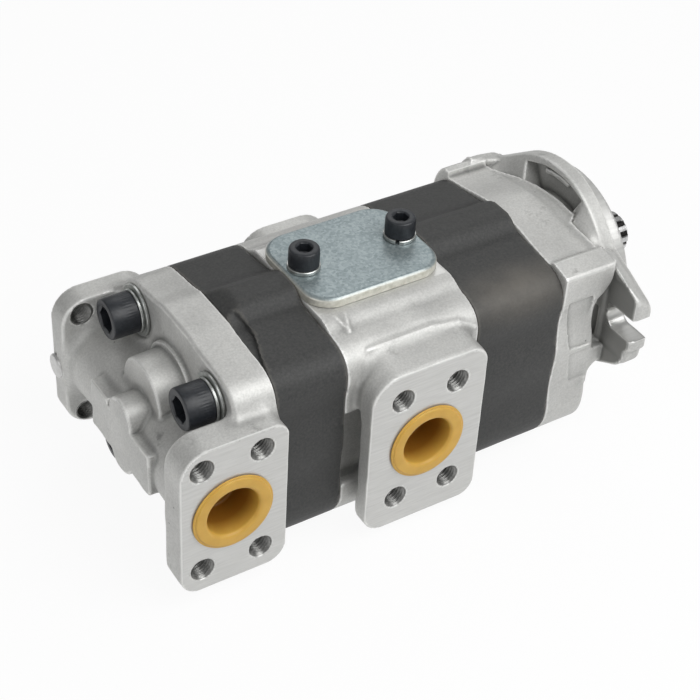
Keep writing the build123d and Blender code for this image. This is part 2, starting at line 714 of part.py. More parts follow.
# Transport plugs: a thin flange, a hollow tapered body and a closed end
plug_flange = 17.8
plug_proud = 1.6
plug_body = 12.6
plug_long = 17.0
with BuildSketch() as plug_profile:
    with BuildLine():
        Polyline((0, -plug_long), (plug_body - 0.8, -plug_long), (plug_body, -plug_long + 3.0))
        Line((plug_body, -plug_long + 3.0), (plug_body, 0))
        Line((plug_body, 0), (plug_flange, 0))
        Line((plug_flange, 0), (plug_flange, plug_proud - 0.5))
        Line((plug_flange, plug_proud - 0.5), (plug_flange - 0.5, plug_proud))
        Line((plug_flange - 0.5, plug_proud), (12.2, plug_proud))
        ThreePointArc((12.2, plug_proud), (11.6, plug_proud - 0.3), (11.4, plug_proud - 0.9))
        Line((11.4, plug_proud - 0.9), (10.4, -plug_long + 1.6))
        Line((10.4, -plug_long + 1.6), (0, -plug_long + 1.6))
        Line((0, -plug_long + 1.6), (0, -plug_long))
    make_face()

outlet_side = [
    ("rear_outlet_plug", rear_port_x, rear_outlet_face, -1),
    ("centre_outlet_plug", centre_port_x, centre_outlet_face, -1),
    ("rear_suction_plug", rear_suction_x, suction_face, 1),
    ("centre_suction_plug", centre_suction_x, suction_face, 1),
]
for plug_name, plug_x, plug_y, plug_side in outlet_side:
    plug_plane = Plane(
        origin=(plug_x, plug_side * plug_y, port_height),
        x_dir=(1, 0, 0),
        z_dir=(0, 0, 1 * plug_side),
    )
    with BuildPart() as transport_plug:
        with BuildSketch(plug_plane):
            add(plug_profile.sketch)
        revolve(axis=Axis((plug_x, 0, port_height), (0, 1, 0)))
    transport_plug.part.label = plug_name
    export_step(transport_plug.part, "parts/" + plug_name + ".step")

# Small plug on the edge of the rear suction flange
with BuildPart() as passage_plug:
    with BuildSketch(Plane.YZ.offset(-223.0)):
        with Locations((54.8, -19.0)):
            Circle(5.5)
    extrude(amount=-2.2)
    fillet(passage_plug.faces().sort_by(Axis.X)[0].edges(), 0.8)
    with BuildSketch(Plane.YZ.offset(-223.0)):
        with Locations((54.8, -19.0)):
            Circle(4.5)
    extrude(amount=4.8)
passage_plug.part.label = "passage_plug"
export_step(passage_plug.part, "parts/passage_plug.step")

# Thrust plates on both sides of each gear pair
plate_sites = [
    ("front_thrust_plate_outer", x_front_joint, -5.0),
    ("front_thrust_plate_inner", x_centre_front, 5.0),
    ("rear_thrust_plate_inner", x_rear_centre, -4.0),
    ("rear_thrust_plate_outer", x_rear_joint, 4.0),
]
for site_name, site_x, site_thick in plate_sites:
    with BuildPart() as thrust_plate:
        with BuildSketch(Plane.YZ.offset(site_x)):
            with Locations((0, 0), (0, -centre_distance)):
                Circle(cavity_radius - 0.1)
            with Locations((0, 0), (0, -centre_distance)):
                Circle(journal_radius + 0.35, mode=Mode.SUBTRACT)
        extrude(amount=site_thick)
    thrust_plate.part.label = site_name
    export_step(thrust_plate.part, "parts/" + site_name + ".step")

# Plain bearing bushes, two in each group
bush_sites = [
    ("flange_bushes", x_front_joint, 17.0),
    ("centre_front_bushes", x_centre_front, -18.0),
    ("centre_rear_bushes", x_rear_centre, 18.0),
    ("cover_bushes", x_rear_joint, -14.5),
]
for site_name, site_x, site_long in bush_sites:
    with BuildPart() as bush_pair:
        with BuildSketch(Plane.YZ.offset(site_x)):
            with Locations((0, 0), (0, -centre_distance)):
                Circle(bush_outer)
                Circle(bush_inner, mode=Mode.SUBTRACT)
        extrude(amount=site_long)
    bush_pair.part.label = site_name
    export_step(bush_pair.part, "parts/" + site_name + ".step")

# Face seals between the sections
seal_sites = [
    ("flange_seal_ring", x_front_joint, seal_deep),
    ("centre_front_seal_ring", x_centre_front, -seal_deep),
    ("centre_rear_seal_ring", x_rear_centre, seal_deep),
    ("cover_seal_ring", x_rear_joint, -seal_deep),
]
for site_name, site_x, site_deep in seal_sites:
    with BuildPart() as face_seal:
        with BuildSketch(Plane.YZ.offset(site_x)):
            add(seal_face.sketch)
        extrude(amount=site_deep)
    face_seal.part.label = site_name
    export_step(face_seal.part, "parts/" + site_name + ".step")

# Dowel pins at the four joint faces
with BuildPart() as dowel_pins:
    for joint_x in (x_rear_joint, x_rear_centre, x_centre_front, x_front_joint):
        with BuildSketch(Plane.YZ.offset(joint_x - 5.0)):
            with Locations(*pin_places):
                Circle(pin_radius)
        extrude(amount=10.0)
dowel_pins.part.label = "dowel_pins"
export_step(dowel_pins.part, "parts/dowel_pins.step")

# Lip seal of the drive shaft and its retaining ring
with BuildPart() as shaft_seal:
    with BuildSketch(Plane.XZ):
        with BuildLine():
            Polyline(
                (-5.0, 17.5),
                (2.0, 17.5),
                (2.0, 14.5),
                (0.5, 12.2),
                (-1.5, 11.35),
                (-3.2, 13.2),
                (-0.6, 15.6),
                (-5.0, 15.6),
                (-5.0, 17.5),
            )
        make_face()
    revolve(axis=Axis.X)
shaft_seal.part.label = "shaft_seal"
export_step(shaft_seal.part, "parts/shaft_seal.step")

with BuildPart() as seal_retaining_ring:
    with BuildSketch(Plane.YZ.offset(2.4)):
        Circle(18.7)
        Circle(15.9, mode=Mode.SUBTRACT)
        with Locations((0, -17.3)):
            Rectangle(9.0, 5.0, mode=Mode.SUBTRACT)
        with Locations((5.6, -14.9), (-5.6, -14.9)):
            Circle(2.1)
        with Locations((5.6, -14.7), (-5.6, -14.7)):
            Circle(1.0, mode=Mode.SUBTRACT)
    extrude(amount=1.4)
seal_retaining_ring.part.label = "seal_retaining_ring"
export_step(seal_retaining_ring.part, "parts/seal_retaining_ring.step")

# Drive shaft in one piece with the first drive gear
front_gear_ends = (-76.9, -43.1)
rear_gear_ends = (-173.4, -149.1)
with BuildSketch() as tail_face:
    Circle(8.0)
    Rectangle(20.0, 11.0, mode=Mode.INTERSECT)

with BuildPart() as drive_gear_shaft:
    with BuildSketch(Plane.YZ.offset(front_gear_ends[0])):
        add(gear_face.sketch)
    extrude(amount=front_gear_ends[1] - front_gear_ends[0])
    with BuildSketch(Plane.YZ.offset(-100.0)):
        Circle(journal_radius)
    extrude(amount=101.5)
    with BuildSketch(Plane.YZ.offset(-112.5)):
        add(tail_face.sketch)
    extrude(amount=13.0)
    with BuildSketch(Plane.YZ.offset(1.0)):
        Circle(spline_radius)
    extrude(amount=shaft_end - 1.0)
    chamfer(drive_gear_shaft.faces().sort_by(Axis.X)[-1].edges(), 1.2)
    with BuildSketch(Plane.YZ.offset(8.0)):
        with PolarLocations(spline_root + 1.5, spline_teeth, start_angle=90):
            Trapezoid(5.0, 3.0, 60, rotation=90)
    extrude(amount=30.0, mode=Mode.SUBTRACT)
drive_gear_shaft.part.label = "drive_gear_shaft"
export_step(drive_gear_shaft.part, "parts/drive_gear_shaft.step")

# Sleeve that carries the drive to the second gear pair
with BuildPart() as coupling_sleeve:
    with BuildSketch(Plane.YZ.offset(-125.5)):
        Circle(12.7)
        with BuildSketch(mode=Mode.SUBTRACT):
            Circle(8.1)
            Rectangle(20.0, 11.2, mode=Mode.INTERSECT)
    extrude(amount=24.0)
coupling_sleeve.part.label = "coupling_sleeve"
export_step(coupling_sleeve.part, "parts/coupling_sleeve.step")

with BuildPart() as rear_drive_gear:
    with BuildSketch(Plane.YZ.offset(rear_gear_ends[0])):
        add(gear_face.sketch)
    extrude(amount=rear_gear_ends[1] - rear_gear_ends[0])
    with BuildSketch(Plane.YZ.offset(-191.5)):
        Circle(journal_radius)
    extrude(amount=64.5)
    with BuildSketch(Plane.YZ.offset(-127.5)):
        add(tail_face.sketch)
    extrude(amount=13.0)
rear_drive_gear.part.label = "rear_drive_gear"
export_step(rear_drive_gear.part, "parts/rear_drive_gear.step")

# Driven gears with their journals, in mesh with the drive gears
driven_sites = [
    ("front_driven_gear", front_gear_ends, -99.5, -21.5),
    ("rear_driven_gear", rear_gear_ends, -191.5, -127.5),
]
for site_name, gear_ends, journal_start, journal_end in driven_sites:
    with BuildPart() as driven_gear:
        with BuildSketch(Plane.YZ.offset(gear_ends[0])):
            with Locations((0, -centre_distance)):
                with Locations(Location((0, 0), 180 / gear_teeth)):
                    add(gear_face.sketch)
        extrude(amount=gear_ends[1] - gear_ends[0])
        with BuildSketch(Plane.YZ.offset(journal_start)):
            with Locations((0, -centre_distance)):
                Circle(journal_radius)
        extrude(amount=journal_end - journal_start)
    driven_gear.part.label = site_name
    export_step(driven_gear.part, "parts/" + site_name + ".step")
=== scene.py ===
# %% [markdown]
# # A tandem gear pump, dressed over its CAD frame
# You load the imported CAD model, which carries the sizes and the motion, and give it the looks of the
# real object: castings with soft blends, machined faces, cut threads and plated washers.
# Everything is measured in millimetres here and turned into metres when a mesh is made.

import bpy
import json
import math
import numpy as np
from mathutils import Matrix, Vector


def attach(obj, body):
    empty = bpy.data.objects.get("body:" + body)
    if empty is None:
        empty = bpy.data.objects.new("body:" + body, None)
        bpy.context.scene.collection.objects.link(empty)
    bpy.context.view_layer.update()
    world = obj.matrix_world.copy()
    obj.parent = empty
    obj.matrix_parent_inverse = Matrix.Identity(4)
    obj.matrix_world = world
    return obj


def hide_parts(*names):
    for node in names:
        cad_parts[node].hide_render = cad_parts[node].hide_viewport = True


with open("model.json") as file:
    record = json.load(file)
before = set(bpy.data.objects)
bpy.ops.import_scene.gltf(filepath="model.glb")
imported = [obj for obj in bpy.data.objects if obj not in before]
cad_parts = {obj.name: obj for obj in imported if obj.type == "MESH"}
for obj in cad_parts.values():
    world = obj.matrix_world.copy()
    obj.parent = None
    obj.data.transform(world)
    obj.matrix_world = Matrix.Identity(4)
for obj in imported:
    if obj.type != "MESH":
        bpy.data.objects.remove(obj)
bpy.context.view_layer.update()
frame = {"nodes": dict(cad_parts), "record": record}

# %% [markdown]
# ## The camera
# The photograph was taken from above the rear, on the outlet side, with a long lens. Position, aim and
# roll come from fitting the flange circle, the port faces and the joint lines.

# %% Place the camera
SENSOR_MM, PHOTO_PX = 36.0, 700.0
camera_place = np.array([-440.6, -483.2, 456.7])
camera_aim = np.array([0.4385, 0.6429, -0.6280])
camera_right = np.array([0.8467, -0.5298, 0.0489])


def set_camera(place, aim, right, focal_px):
    """Camera at place, in mm, looking along aim; lens = sensor width * focal_px / photo width."""
    data = bpy.data.cameras.new("camera")
    obj = bpy.data.objects.new("camera", data)
    bpy.context.scene.collection.objects.link(obj)
    back = Vector(-aim).normalized()
    side = Vector(right)
    side = (side - back * side.dot(back)).normalized()
    up = back.cross(side)
    turn = Matrix((side, up, back)).transposed().to_4x4()
    obj.matrix_world = Matrix.Translation(Vector(place) / 1000) @ turn
    data.lens = SENSOR_MM * focal_px / PHOTO_PX
    data.sensor_width = SENSOR_MM
    data.clip_start = 0.01
    bpy.context.scene.camera = obj
    print("lens", round(data.lens, 2), "mm")


set_camera(camera_place, camera_aim, camera_right, 1737.0)

# %% [markdown]
# ## Fields
# A casting has a fillet at every inner corner and no exact edge, which is tedious to model face by face.
# It is easier to describe as a signed distance field: negative inside the metal, positive outside. The
# smooth minimum of two fields is the two shapes with a fillet between them.


# %% Distances and how they join
def slab(a, low, high):
    """max(low - a, a - high): distance to the gap between two planes."""
    return np.maximum(low - a, a - high)


def disc(u, v, cu, cv, r):
    """sqrt((u - cu)^2 + (v - cv)^2) - r."""
    return np.sqrt((u - cu) ** 2 + (v - cv) ** 2) - r


def rect(u, v, u0, u1, v0, v1, r):
    """Rounded rectangle; r is one radius, or four, from the (low u, low v) corner by way of high u."""
    cu, cv = (u0 + u1) / 2, (v0 + v1) / 2
    r = (r, r, r, r) if np.isscalar(r) else r
    rad = np.where(u > cu, np.where(v > cv, r[2], r[1]), np.where(v > cv, r[3], r[0]))
    qu = np.abs(u - cu) - (u1 - u0) / 2 + rad
    qv = np.abs(v - cv) - (v1 - v0) / 2 + rad
    return np.minimum(np.maximum(qu, qv), 0) + np.hypot(np.maximum(qu, 0), np.maximum(qv, 0)) - rad


def polygon(u, v, points):
    """Signed distance to a closed polygon, by the nearest edge and the winding rule."""
    p = np.asarray(points, float)
    q = np.roll(p, -1, axis=0)
    best = np.full(np.broadcast(u, v).shape, 1e9)
    side = np.zeros(best.shape, bool)
    for (a, b), (c, d) in zip(p, q):
        eu, ev = c - a, d - b
        wu, wv = u - a, v - b
        t = np.clip((wu * eu + wv * ev) / (eu * eu + ev * ev + 1e-12), 0, 1)
        best = np.minimum(best, (wu - eu * t) ** 2 + (wv - ev * t) ** 2)
        with np.errstate(divide="ignore", invalid="ignore"):
            cross = ((b > v) != (d > v)) & (u < a + eu * (v - b) / (ev if ev else 1e-9))
        side ^= cross
    return np.where(side, -1.0, 1.0) * np.sqrt(best)


def prism(flat, along, r=0.0):
    """Flat outline drawn out along a slab, with its edges rounded to r."""
    a, b = flat + r, along + r
    return np.minimum(np.maximum(a, b), 0) + np.hypot(np.maximum(a, 0), np.maximum(b, 0)) - r


def join(a, b, k):
    """Smooth minimum: min(a, b) - h^2 k / 4 with h = max(k - |a - b|, 0) / k, a fillet about k wide."""
    h = np.maximum(k - np.abs(a - b), 0) / k
    return np.minimum(a, b) - h * h * k / 4


def cut(a, b, k=0.0):
    """a without b: max(a, -b), smoothed over k where k is not zero."""
    if k == 0:
        return np.maximum(a, -b)
    return -join(-a, b, k)


def keep(a, b, k=0.0):
    """The part of a that is inside b."""
    if k == 0:
        return np.maximum(a, b)
    return -join(-a, -b, k)


def bezier(p0, p1, p2, p3, n=8):
    """n points of a cubic curve, without its last one."""
    t = np.linspace(0, 1, n, endpoint=False)[:, None]
    p0, p1, p2, p3 = (np.array(p, float) for p in (p0, p1, p2, p3))
    return (1 - t) ** 3 * p0 + 3 * t * (1 - t) ** 2 * p1 + 3 * t * t * (1 - t) * p2 + t**3 * p3


print("where two surfaces cross, join with k = 4 adds", -float(join(0.0, 0.0, 4.0)), "mm")

# %% [markdown]
# ## From samples to a surface
# A surface net turns the sampled field into a mesh: one vertex in each cell that the surface crosses,
# at the mean of the crossings on that cell's edges, and one quad across each crossed edge. It needs no
# case table, works on whole arrays and gives even quads that shade smoothly.


# %% Sample a field and net its surface
def grid(low, high, step):
    """Open coordinate arrays over a box and a little more; the odd start keeps flat faces off samples."""
    axes = [np.arange(a - 1.37 * step, b + 1.9 * step, step, dtype=np.float32) for a, b in zip(low, high)]
    return axes, axes[0][:, None, None], axes[1][None, :, None], axes[2][None, None, :]


def surface_net(field, axes, step):
    """Vertices and outward quads of the zero surface of a sampled field."""
    shape = tuple(n - 1 for n in field.shape)
    total = np.zeros(shape + (3,), np.float32)
    count = np.zeros(shape, np.float32)
    crossings = []
    for axis in range(3):
        first = np.take(field, range(field.shape[axis] - 1), axis=axis)
        last = np.take(field, range(1, field.shape[axis]), axis=axis)
        crossed = (first < 0) != (last < 0)
        i, j, k = np.nonzero(crossed)
        t = first[i, j, k] / (first[i, j, k] - last[i, j, k])
        place = np.stack([i, j, k], axis=1).astype(np.float32)
        place[:, axis] += t
        others = [a for a in range(3) if a != axis]
        for d0 in (0, 1):
            for d1 in (0, 1):
                cell = np.stack([i, j, k], axis=1)
                cell[:, others[0]] -= d0
                cell[:, others[1]] -= d1
                ok = ((cell >= 0) & (cell < np.array(shape))).all(axis=1)
                c = tuple(cell[ok].T)
                np.add.at(total, c, place[ok])
                np.add.at(count, c, 1)
        crossings.append((i, j, k, first[i, j, k] < 0))
    hit = count > 0
    number = np.full(shape, -1, np.int64)
    number[hit] = np.arange(hit.sum())
    origin = np.array([a[0] for a in axes])
    verts = origin + step * total[hit] / count[hit][:, None]
    quads = []
    for axis, (i, j, k, outward) in enumerate(crossings):
        b, c = (axis + 1) % 3, (axis + 2) % 3
        corners = []
        for db, dc in ((1, 1), (0, 1), (0, 0), (1, 0)):
            cell = np.stack([i, j, k], axis=1)
            cell[:, b] -= db
            cell[:, c] -= dc
            cell = np.clip(cell, 0, np.array(shape) - 1)
            corners.append(number[tuple(cell.T)])
        quad = np.stack(corners, axis=1)
        quad[~outward] = quad[~outward][:, ::-1]
        quads.append(quad)
    return verts, np.vstack(quads)


axes, x, y, z = grid((-5, -5, -5), (5, 5, 5), 1.0)
verts, quads = surface_net(np.sqrt(x * x + y * y + z * z) - 4.0, axes, 1.0)
radius = float(np.linalg.norm(verts, axis=1).mean())
print("a ball of radius 4:", len(quads), "quads at a mean radius of", round(radius, 2))

# %% [markdown]
# Blender takes a mesh fastest as whole arrays. Everything is drawn in millimetres up to here, and this is
# the one place where millimetres become metres.


# %% Make a mesh object
def make_mesh(name, verts, faces, smooth=True, crease=None):
    """Mesh object from vertex and face arrays in mm, all faces with the same number of corners."""
    faces = np.asarray(faces, np.int32)
    mesh = bpy.data.meshes.new(name)
    mesh.vertices.add(len(verts))
    mesh.vertices.foreach_set("co", (np.asarray(verts, np.float32) / 1000).ravel())
    mesh.loops.add(faces.size)
    mesh.loops.foreach_set("vertex_index", faces.ravel())
    mesh.polygons.add(len(faces))
    sides = faces.shape[1]
    mesh.polygons.foreach_set("loop_start", np.arange(0, faces.size, sides, dtype=np.int32))
    mesh.polygons.foreach_set("loop_total", np.full(len(faces), sides, np.int32))
    mesh.update(calc_edges=True)
    mesh.polygons.foreach_set("use_smooth", np.full(len(faces), smooth))
    if crease:
        mesh.set_sharp_from_angle(angle=math.radians(crease))
    obj = bpy.data.objects.new(name, mesh)
    bpy.context.scene.collection.objects.link(obj)
    return obj


print("mesher ready")

# %% [markdown]
# ## Materials
# A finish could be a photograph wrapped round the part, but that fits one part only and stretches on a
# casting. All finishes here are procedural and read object coordinates, in metres, so they stay put when
# a body turns. A small helper adds a node, fills its sockets and links whatever comes as a socket.


# %% Node helpers
def add_node(tree, kind, inputs=None, **settings):
    """New node; inputs maps a socket name or number to a value or to another node's output."""
    made = tree.nodes.new(kind)
    for key, value in settings.items():
        setattr(made, key, value)
    for key, value in (inputs or {}).items():
        if isinstance(value, bpy.types.NodeSocket):
            tree.links.new(value, made.inputs[key])
        else:
            made.inputs[key].default_value = value
    return made


def noise(tree, place, scale, detail=3.0, rough=0.5, stretch=(1, 1, 1)):
    """Noise value of object coordinates; scale counts features per millimetre."""
    per_metre = tuple(1000 * scale * s for s in stretch)
    moved = add_node(tree, "ShaderNodeMapping", {"Vector": place, "Scale": per_metre})
    inputs = {"Vector": moved.outputs[0], "Scale": 1.0, "Detail": detail, "Roughness": rough}
    return add_node(tree, "ShaderNodeTexNoise", inputs).outputs["Fac"]


def ramp(tree, value, stops):
    """Colour ramp through (place, grey or rgb) stops."""
    made = add_node(tree, "ShaderNodeValToRGB", {"Fac": value})
    band = made.color_ramp
    while len(band.elements) < len(stops):
        band.elements.new(0.5)
    for element, (place, shade) in zip(band.elements, stops):
        element.position = place
        element.color = (shade, shade, shade, 1) if np.isscalar(shade) else (*shade, 1)
    return made.outputs["Color"]


def mix(tree, fac, a, b, how="MIX"):
    """Colour mix of a and b."""
    made = add_node(tree, "ShaderNodeMix", data_type="RGBA", blend_type=how)
    for socket, value in ((0, fac), (6, a), (7, b)):
        if isinstance(value, bpy.types.NodeSocket):
            tree.links.new(value, made.inputs[socket])
        else:
            made.inputs[socket].default_value = value if np.isscalar(value) else (*value[:3], 1)
    return made.outputs[2]


def spread(tree, value, low, high):
    """0 below low and 1 above high, straight in between; low may be the greater one."""
    return add_node(tree, "ShaderNodeMapRange", {0: value, 1: low, 2: high}).outputs[0]


def times(tree, a, b):
    """Product of two values."""
    return add_node(tree, "ShaderNodeMath", {0: a, 1: b}, operation="MULTIPLY").outputs[0]


print("node helpers ready")

# %% [markdown]
# One function builds a whole finish: a paint function gives the colour, and bumps stand for relief that
# is too fine for the mesh, such as sand grain and cutter marks.


# %% Build a finish
def finish_of(name, paint, metallic, rough, bumps, shine=0.5, soft=0.0):
    """Material: paint(tree, place) gives its colour, bumps lists (scale, stretch, height in mm, strength)."""
    made = bpy.data.materials.new(name)
    made.use_nodes = True
    tree = made.node_tree
    shader = tree.nodes["Principled BSDF"]
    place = add_node(tree, "ShaderNodeTexCoord").outputs["Object"]
    tree.links.new(paint(tree, place), shader.inputs["Base Color"])
    shader.inputs["Metallic"].default_value = metallic
    shader.inputs["Roughness"].default_value = rough
    shader.inputs["Specular IOR Level"].default_value = shine
    shader.inputs["Subsurface Weight"].default_value = soft
    shader.inputs["Subsurface Scale"].default_value = 0.002
    normal = None
    for scale, stretch, height, strength in bumps:
        relief = noise(tree, place, scale, 2.0, 0.5, stretch)
        inputs = {"Height": relief, "Distance": height / 1000, "Strength": strength}
        if normal is not None:
            inputs["Normal"] = normal
        normal = add_node(tree, "ShaderNodeBump", inputs).outputs[0]
    if normal is not None:
        tree.links.new(normal, shader.inputs["Normal"])
    return made


def facing(tree, axis):
    """How far the surface faces along an object axis, from -1 to 1."""
    normal = add_node(tree, "ShaderNodeNewGeometry").outputs["Normal"]
    turned = add_node(tree, "ShaderNodeVectorTransform", {0: normal})
    turned.vector_type, turned.convert_from, turned.convert_to = "NORMAL", "WORLD", "OBJECT"
    return add_node(tree, "ShaderNodeSeparateXYZ", {0: turned.outputs[0]}).outputs[axis]


def speckled(low, high, scale=0.6, stretch=(1, 1, 1)):
    """Paint function: noise between two colours."""
    return lambda tree, place: ramp(
        tree, noise(tree, place, scale, 3.0, 0.6, stretch), [(0.3, low), (0.7, high)]
    )


evenly = (1, 1, 1)
print("finish builder ready")

# %% [markdown]
# ## Sand-cast aluminium
# A casting is light grey, with a sandy skin, slow blotches and a few pinholes. Outer edges are lighter, as
# wear and painted highlight, inner corners darker, as painted shade. Those two follow the shape, so each
# mesh brings them along as the attributes edge and hollow. The backs of the ears get painted shade too.


# %% Paint the castings
def wear_sheen_and_shade(tree, shade, sheen_and_wear, amount):
    """Edges lighter as wear and painted highlight, inner corners darker as painted shade, from edge and
    hollow.
    """
    edge = add_node(tree, "ShaderNodeAttribute", attribute_name="edge").outputs["Fac"]
    hollow = add_node(tree, "ShaderNodeAttribute", attribute_name="hollow").outputs["Fac"]
    # painted shade: the deeper the hollow, the darker the corner
    corner_shade = ramp(tree, hollow, [(0.0, 1.0), (0.35, 0.72), (1.0, 0.45)])
    dark = mix(tree, 1.0, shade, corner_shade, "MULTIPLY")
    # outer edges mixed towards a lighter tone: part rubbed wear, part painted highlight
    return mix(tree, ramp(tree, edge, [(0.15, 0.0), (0.8, amount)]), dark, sheen_and_wear)


def ear_back_shade(tree, place):
    """1 where painted shade falls on the ear backs: facing -x, above x = -11 mm, past |y| = 47 mm; else 0."""
    split = add_node(tree, "ShaderNodeSeparateXYZ", {0: place}).outputs
    along = spread(tree, split["X"], -0.015, -0.011)
    width = add_node(tree, "ShaderNodeMath", {0: split["Y"]}, operation="ABSOLUTE").outputs[0]
    out = spread(tree, width, 0.041, 0.047)
    back = spread(tree, facing(tree, 0), -0.35, -0.85)
    return times(tree, times(tree, along, out), back)


def paint_cast(tree, place):
    """Light grey casting with slow blotches, sand grain, a few dark pinholes, stains and painted shade."""
    blotch = noise(tree, place, 0.035, 4.0, 0.6)
    slow = ramp(tree, blotch, [(0.3, (0.50, 0.50, 0.485)), (0.7, (0.63, 0.63, 0.61))])
    grain = ramp(tree, noise(tree, place, 1.1, 3.0, 0.6), [(0.35, 0.84), (0.65, 1.0)])
    shade = mix(tree, 1.0, slow, grain, "MULTIPLY")
    stain = ramp(tree, noise(tree, place, 0.075, 5.0, 0.7), [(0.62, 1.0), (0.72, 0.62)])
    shade = mix(tree, 1.0, shade, stain, "MULTIPLY")
    spots = add_node(tree, "ShaderNodeTexVoronoi", {"Vector": place, "Scale": 105.0, "Randomness": 1.0})
    pin = ramp(tree, spots.outputs["Distance"], [(0.035, 0.35), (0.06, 1.0)])
    some = ramp(tree, noise(tree, place, 0.05, 1.0), [(0.52, 0.0), (0.56, 1.0)])
    shade = mix(tree, some, shade, mix(tree, 1.0, shade, pin, "MULTIPLY"))
    # painted shade: the backs of the ears turn dark grey
    shade = mix(tree, ear_back_shade(tree, place), shade, (0.25, 0.25, 0.24))
    # edges towards pale grey as wear and painted highlight, corners in painted shade
    return wear_sheen_and_shade(tree, shade, (0.80, 0.80, 0.78), 0.75)


sand_bumps = [(1.3, evenly, 0.10, 0.35), (0.25, evenly, 0.25, 0.3)]
cast_metal = finish_of("cast aluminium", paint_cast, 0.5, 0.52, sand_bumps)
print("made:", cast_metal.name)

# %% [markdown]
# ## Machined aluminium
# Port faces are milled, which leaves fine parallel marks, and bores are turned. Stretched noise gives
# both, because it is long in one direction and short across it.


# %% Paint the machined faces
def paint_milled(tree, place):
    """Freshly milled aluminium, with faint cutter marks."""
    streak = noise(tree, place, 0.5, 3.0, 0.6, (0.15, 1.0, 2.2))
    return ramp(tree, streak, [(0.3, (0.51, 0.51, 0.495)), (0.7, (0.59, 0.59, 0.575))])


milled = finish_of("milled aluminium", paint_milled, 0.55, 0.33, [(1.2, (0.1, 1.0, 2.5), 0.03, 0.25)])
bore = finish_of("turned aluminium", paint_milled, 0.85, 0.3, [(1.6, (3.0, 0.3, 3.0), 0.03, 0.3)])
print("made:", milled.name, "and", bore.name)

# %% [markdown]
# ## Cast iron
# The gear housings are dark iron. On the shoulder of the front one a brownish patch is part rubbed wear
# and part painted highlight. It is a ball round one point, longer along the shaft, broken up by noise.


# %% Paint the iron
def paint_iron(tree, place):
    """Dark iron with a sandy skin, and a browner, lighter shoulder patch: part wear, part painted highlight.
    """
    sandy = noise(tree, place, 0.9, 4.0, 0.65)
    skin = ramp(tree, sandy, [(0.3, (0.034, 0.035, 0.035)), (0.75, (0.060, 0.060, 0.058))])
    split = add_node(tree, "ShaderNodeSeparateXYZ", {0: place}).outputs
    along = add_node(tree, "ShaderNodeMath", {0: split["X"], 1: 0.45, 2: 0.026}, operation="MULTIPLY_ADD")
    away = add_node(tree, "ShaderNodeMath", {0: split["Y"], 1: -0.043}, operation="SUBTRACT")
    lift = add_node(tree, "ShaderNodeMath", {0: split["Z"], 1: 0.028}, operation="SUBTRACT")
    parts = {"X": away.outputs[0], "Y": lift.outputs[0], "Z": along.outputs[0]}
    offset = add_node(tree, "ShaderNodeCombineXYZ", parts).outputs[0]
    far = add_node(tree, "ShaderNodeVectorMath", {0: offset}, operation="LENGTH")
    # brownish patch on the front shoulder: part rubbed wear, part painted highlight
    near = ramp(tree, far.outputs["Value"], [(0.0, 0.9), (0.017, 0.0)])
    patch = ramp(tree, noise(tree, place, 0.06, 4.0, 0.6), [(0.25, 0.35), (0.75, 1.0)])
    sheen_and_wear = mix(tree, 1.0, near, patch, "MULTIPLY")
    # patch mixed in; edges and corners as in the castings: wear, painted highlight, painted shade
    return wear_sheen_and_shade(tree, mix(tree, sheen_and_wear, skin, (0.165, 0.152, 0.133)), (0.13, 0.125, 0.115), 0.6)


iron_bumps = [(1.5, evenly, 0.10, 0.4), (0.3, evenly, 0.2, 0.25)]
iron = finish_of("cast iron", paint_iron, 0.0, 0.55, iron_bumps, 0.3)
print("made:", iron.name)

# %% [markdown]
# ## Zinc and yellow plastic
# Zinc plating grows in crystals, which show as blue-grey cells on the flat top of the plate; its sheared
# sides are paler and yellower. The plugs are soft yellow plastic, and the cup is painted darker and
# deeper in colour as painted shade, so the cup carries an attribute for that.


# %% Paint the plate and the plugs
def paint_zinc(tree, place):
    """Bright zinc: blue-grey crystals on the flat, paler and yellower on upright edges."""
    cells = add_node(tree, "ShaderNodeTexVoronoi", {"Vector": place, "Scale": 950.0, "Randomness": 1.0})
    grain = add_node(tree, "ShaderNodeSeparateXYZ", {0: cells.outputs["Color"]}).outputs[0]
    cloud = mix(tree, 0.5, noise(tree, place, 0.09, 4.0, 0.6), grain)
    flat = ramp(tree, cloud, [(0.25, (0.19, 0.235, 0.245)), (0.75, (0.30, 0.35, 0.36))])
    speck = noise(tree, place, 0.5, 3.0)
    edge = ramp(tree, speck, [(0.3, (0.55, 0.54, 0.47)), (0.7, (0.74, 0.73, 0.66))])
    return mix(tree, ramp(tree, facing(tree, 2), [(0.45, 0.0), (0.85, 1.0)]), edge, flat)


def paint_plastic(tree, place):
    """Yellow plastic, with painted shade inside the cup: darker and deeper in colour."""
    deep = add_node(tree, "ShaderNodeAttribute", attribute_name="deep").outputs["Fac"]
    shade = ramp(tree, noise(tree, place, 0.15), [(0.3, (0.56, 0.335, 0.058)), (0.7, (0.63, 0.385, 0.072))])
    # painted shade: darker, deeper yellow inside the cup, by the attribute deep
    return mix(tree, deep, shade, (0.27, 0.115, 0.012))


zinc = finish_of("zinc plated steel", paint_zinc, 0.5, 0.36, [(0.7, evenly, 0.04, 0.3)])
plastic = finish_of("yellow plastic", paint_plastic, 0.0, 0.42, [(0.4, evenly, 0.03, 0.2)], 0.4, 0.1)
print("made:", zinc.name, "and", plastic.name)

# %% [markdown]
# ## Steel, bronze and rubber
# The rest is plain: each finish is noise between two close colours, with its own gloss. The shaft end is
# bright, with painted shade in the grooves of its spline.


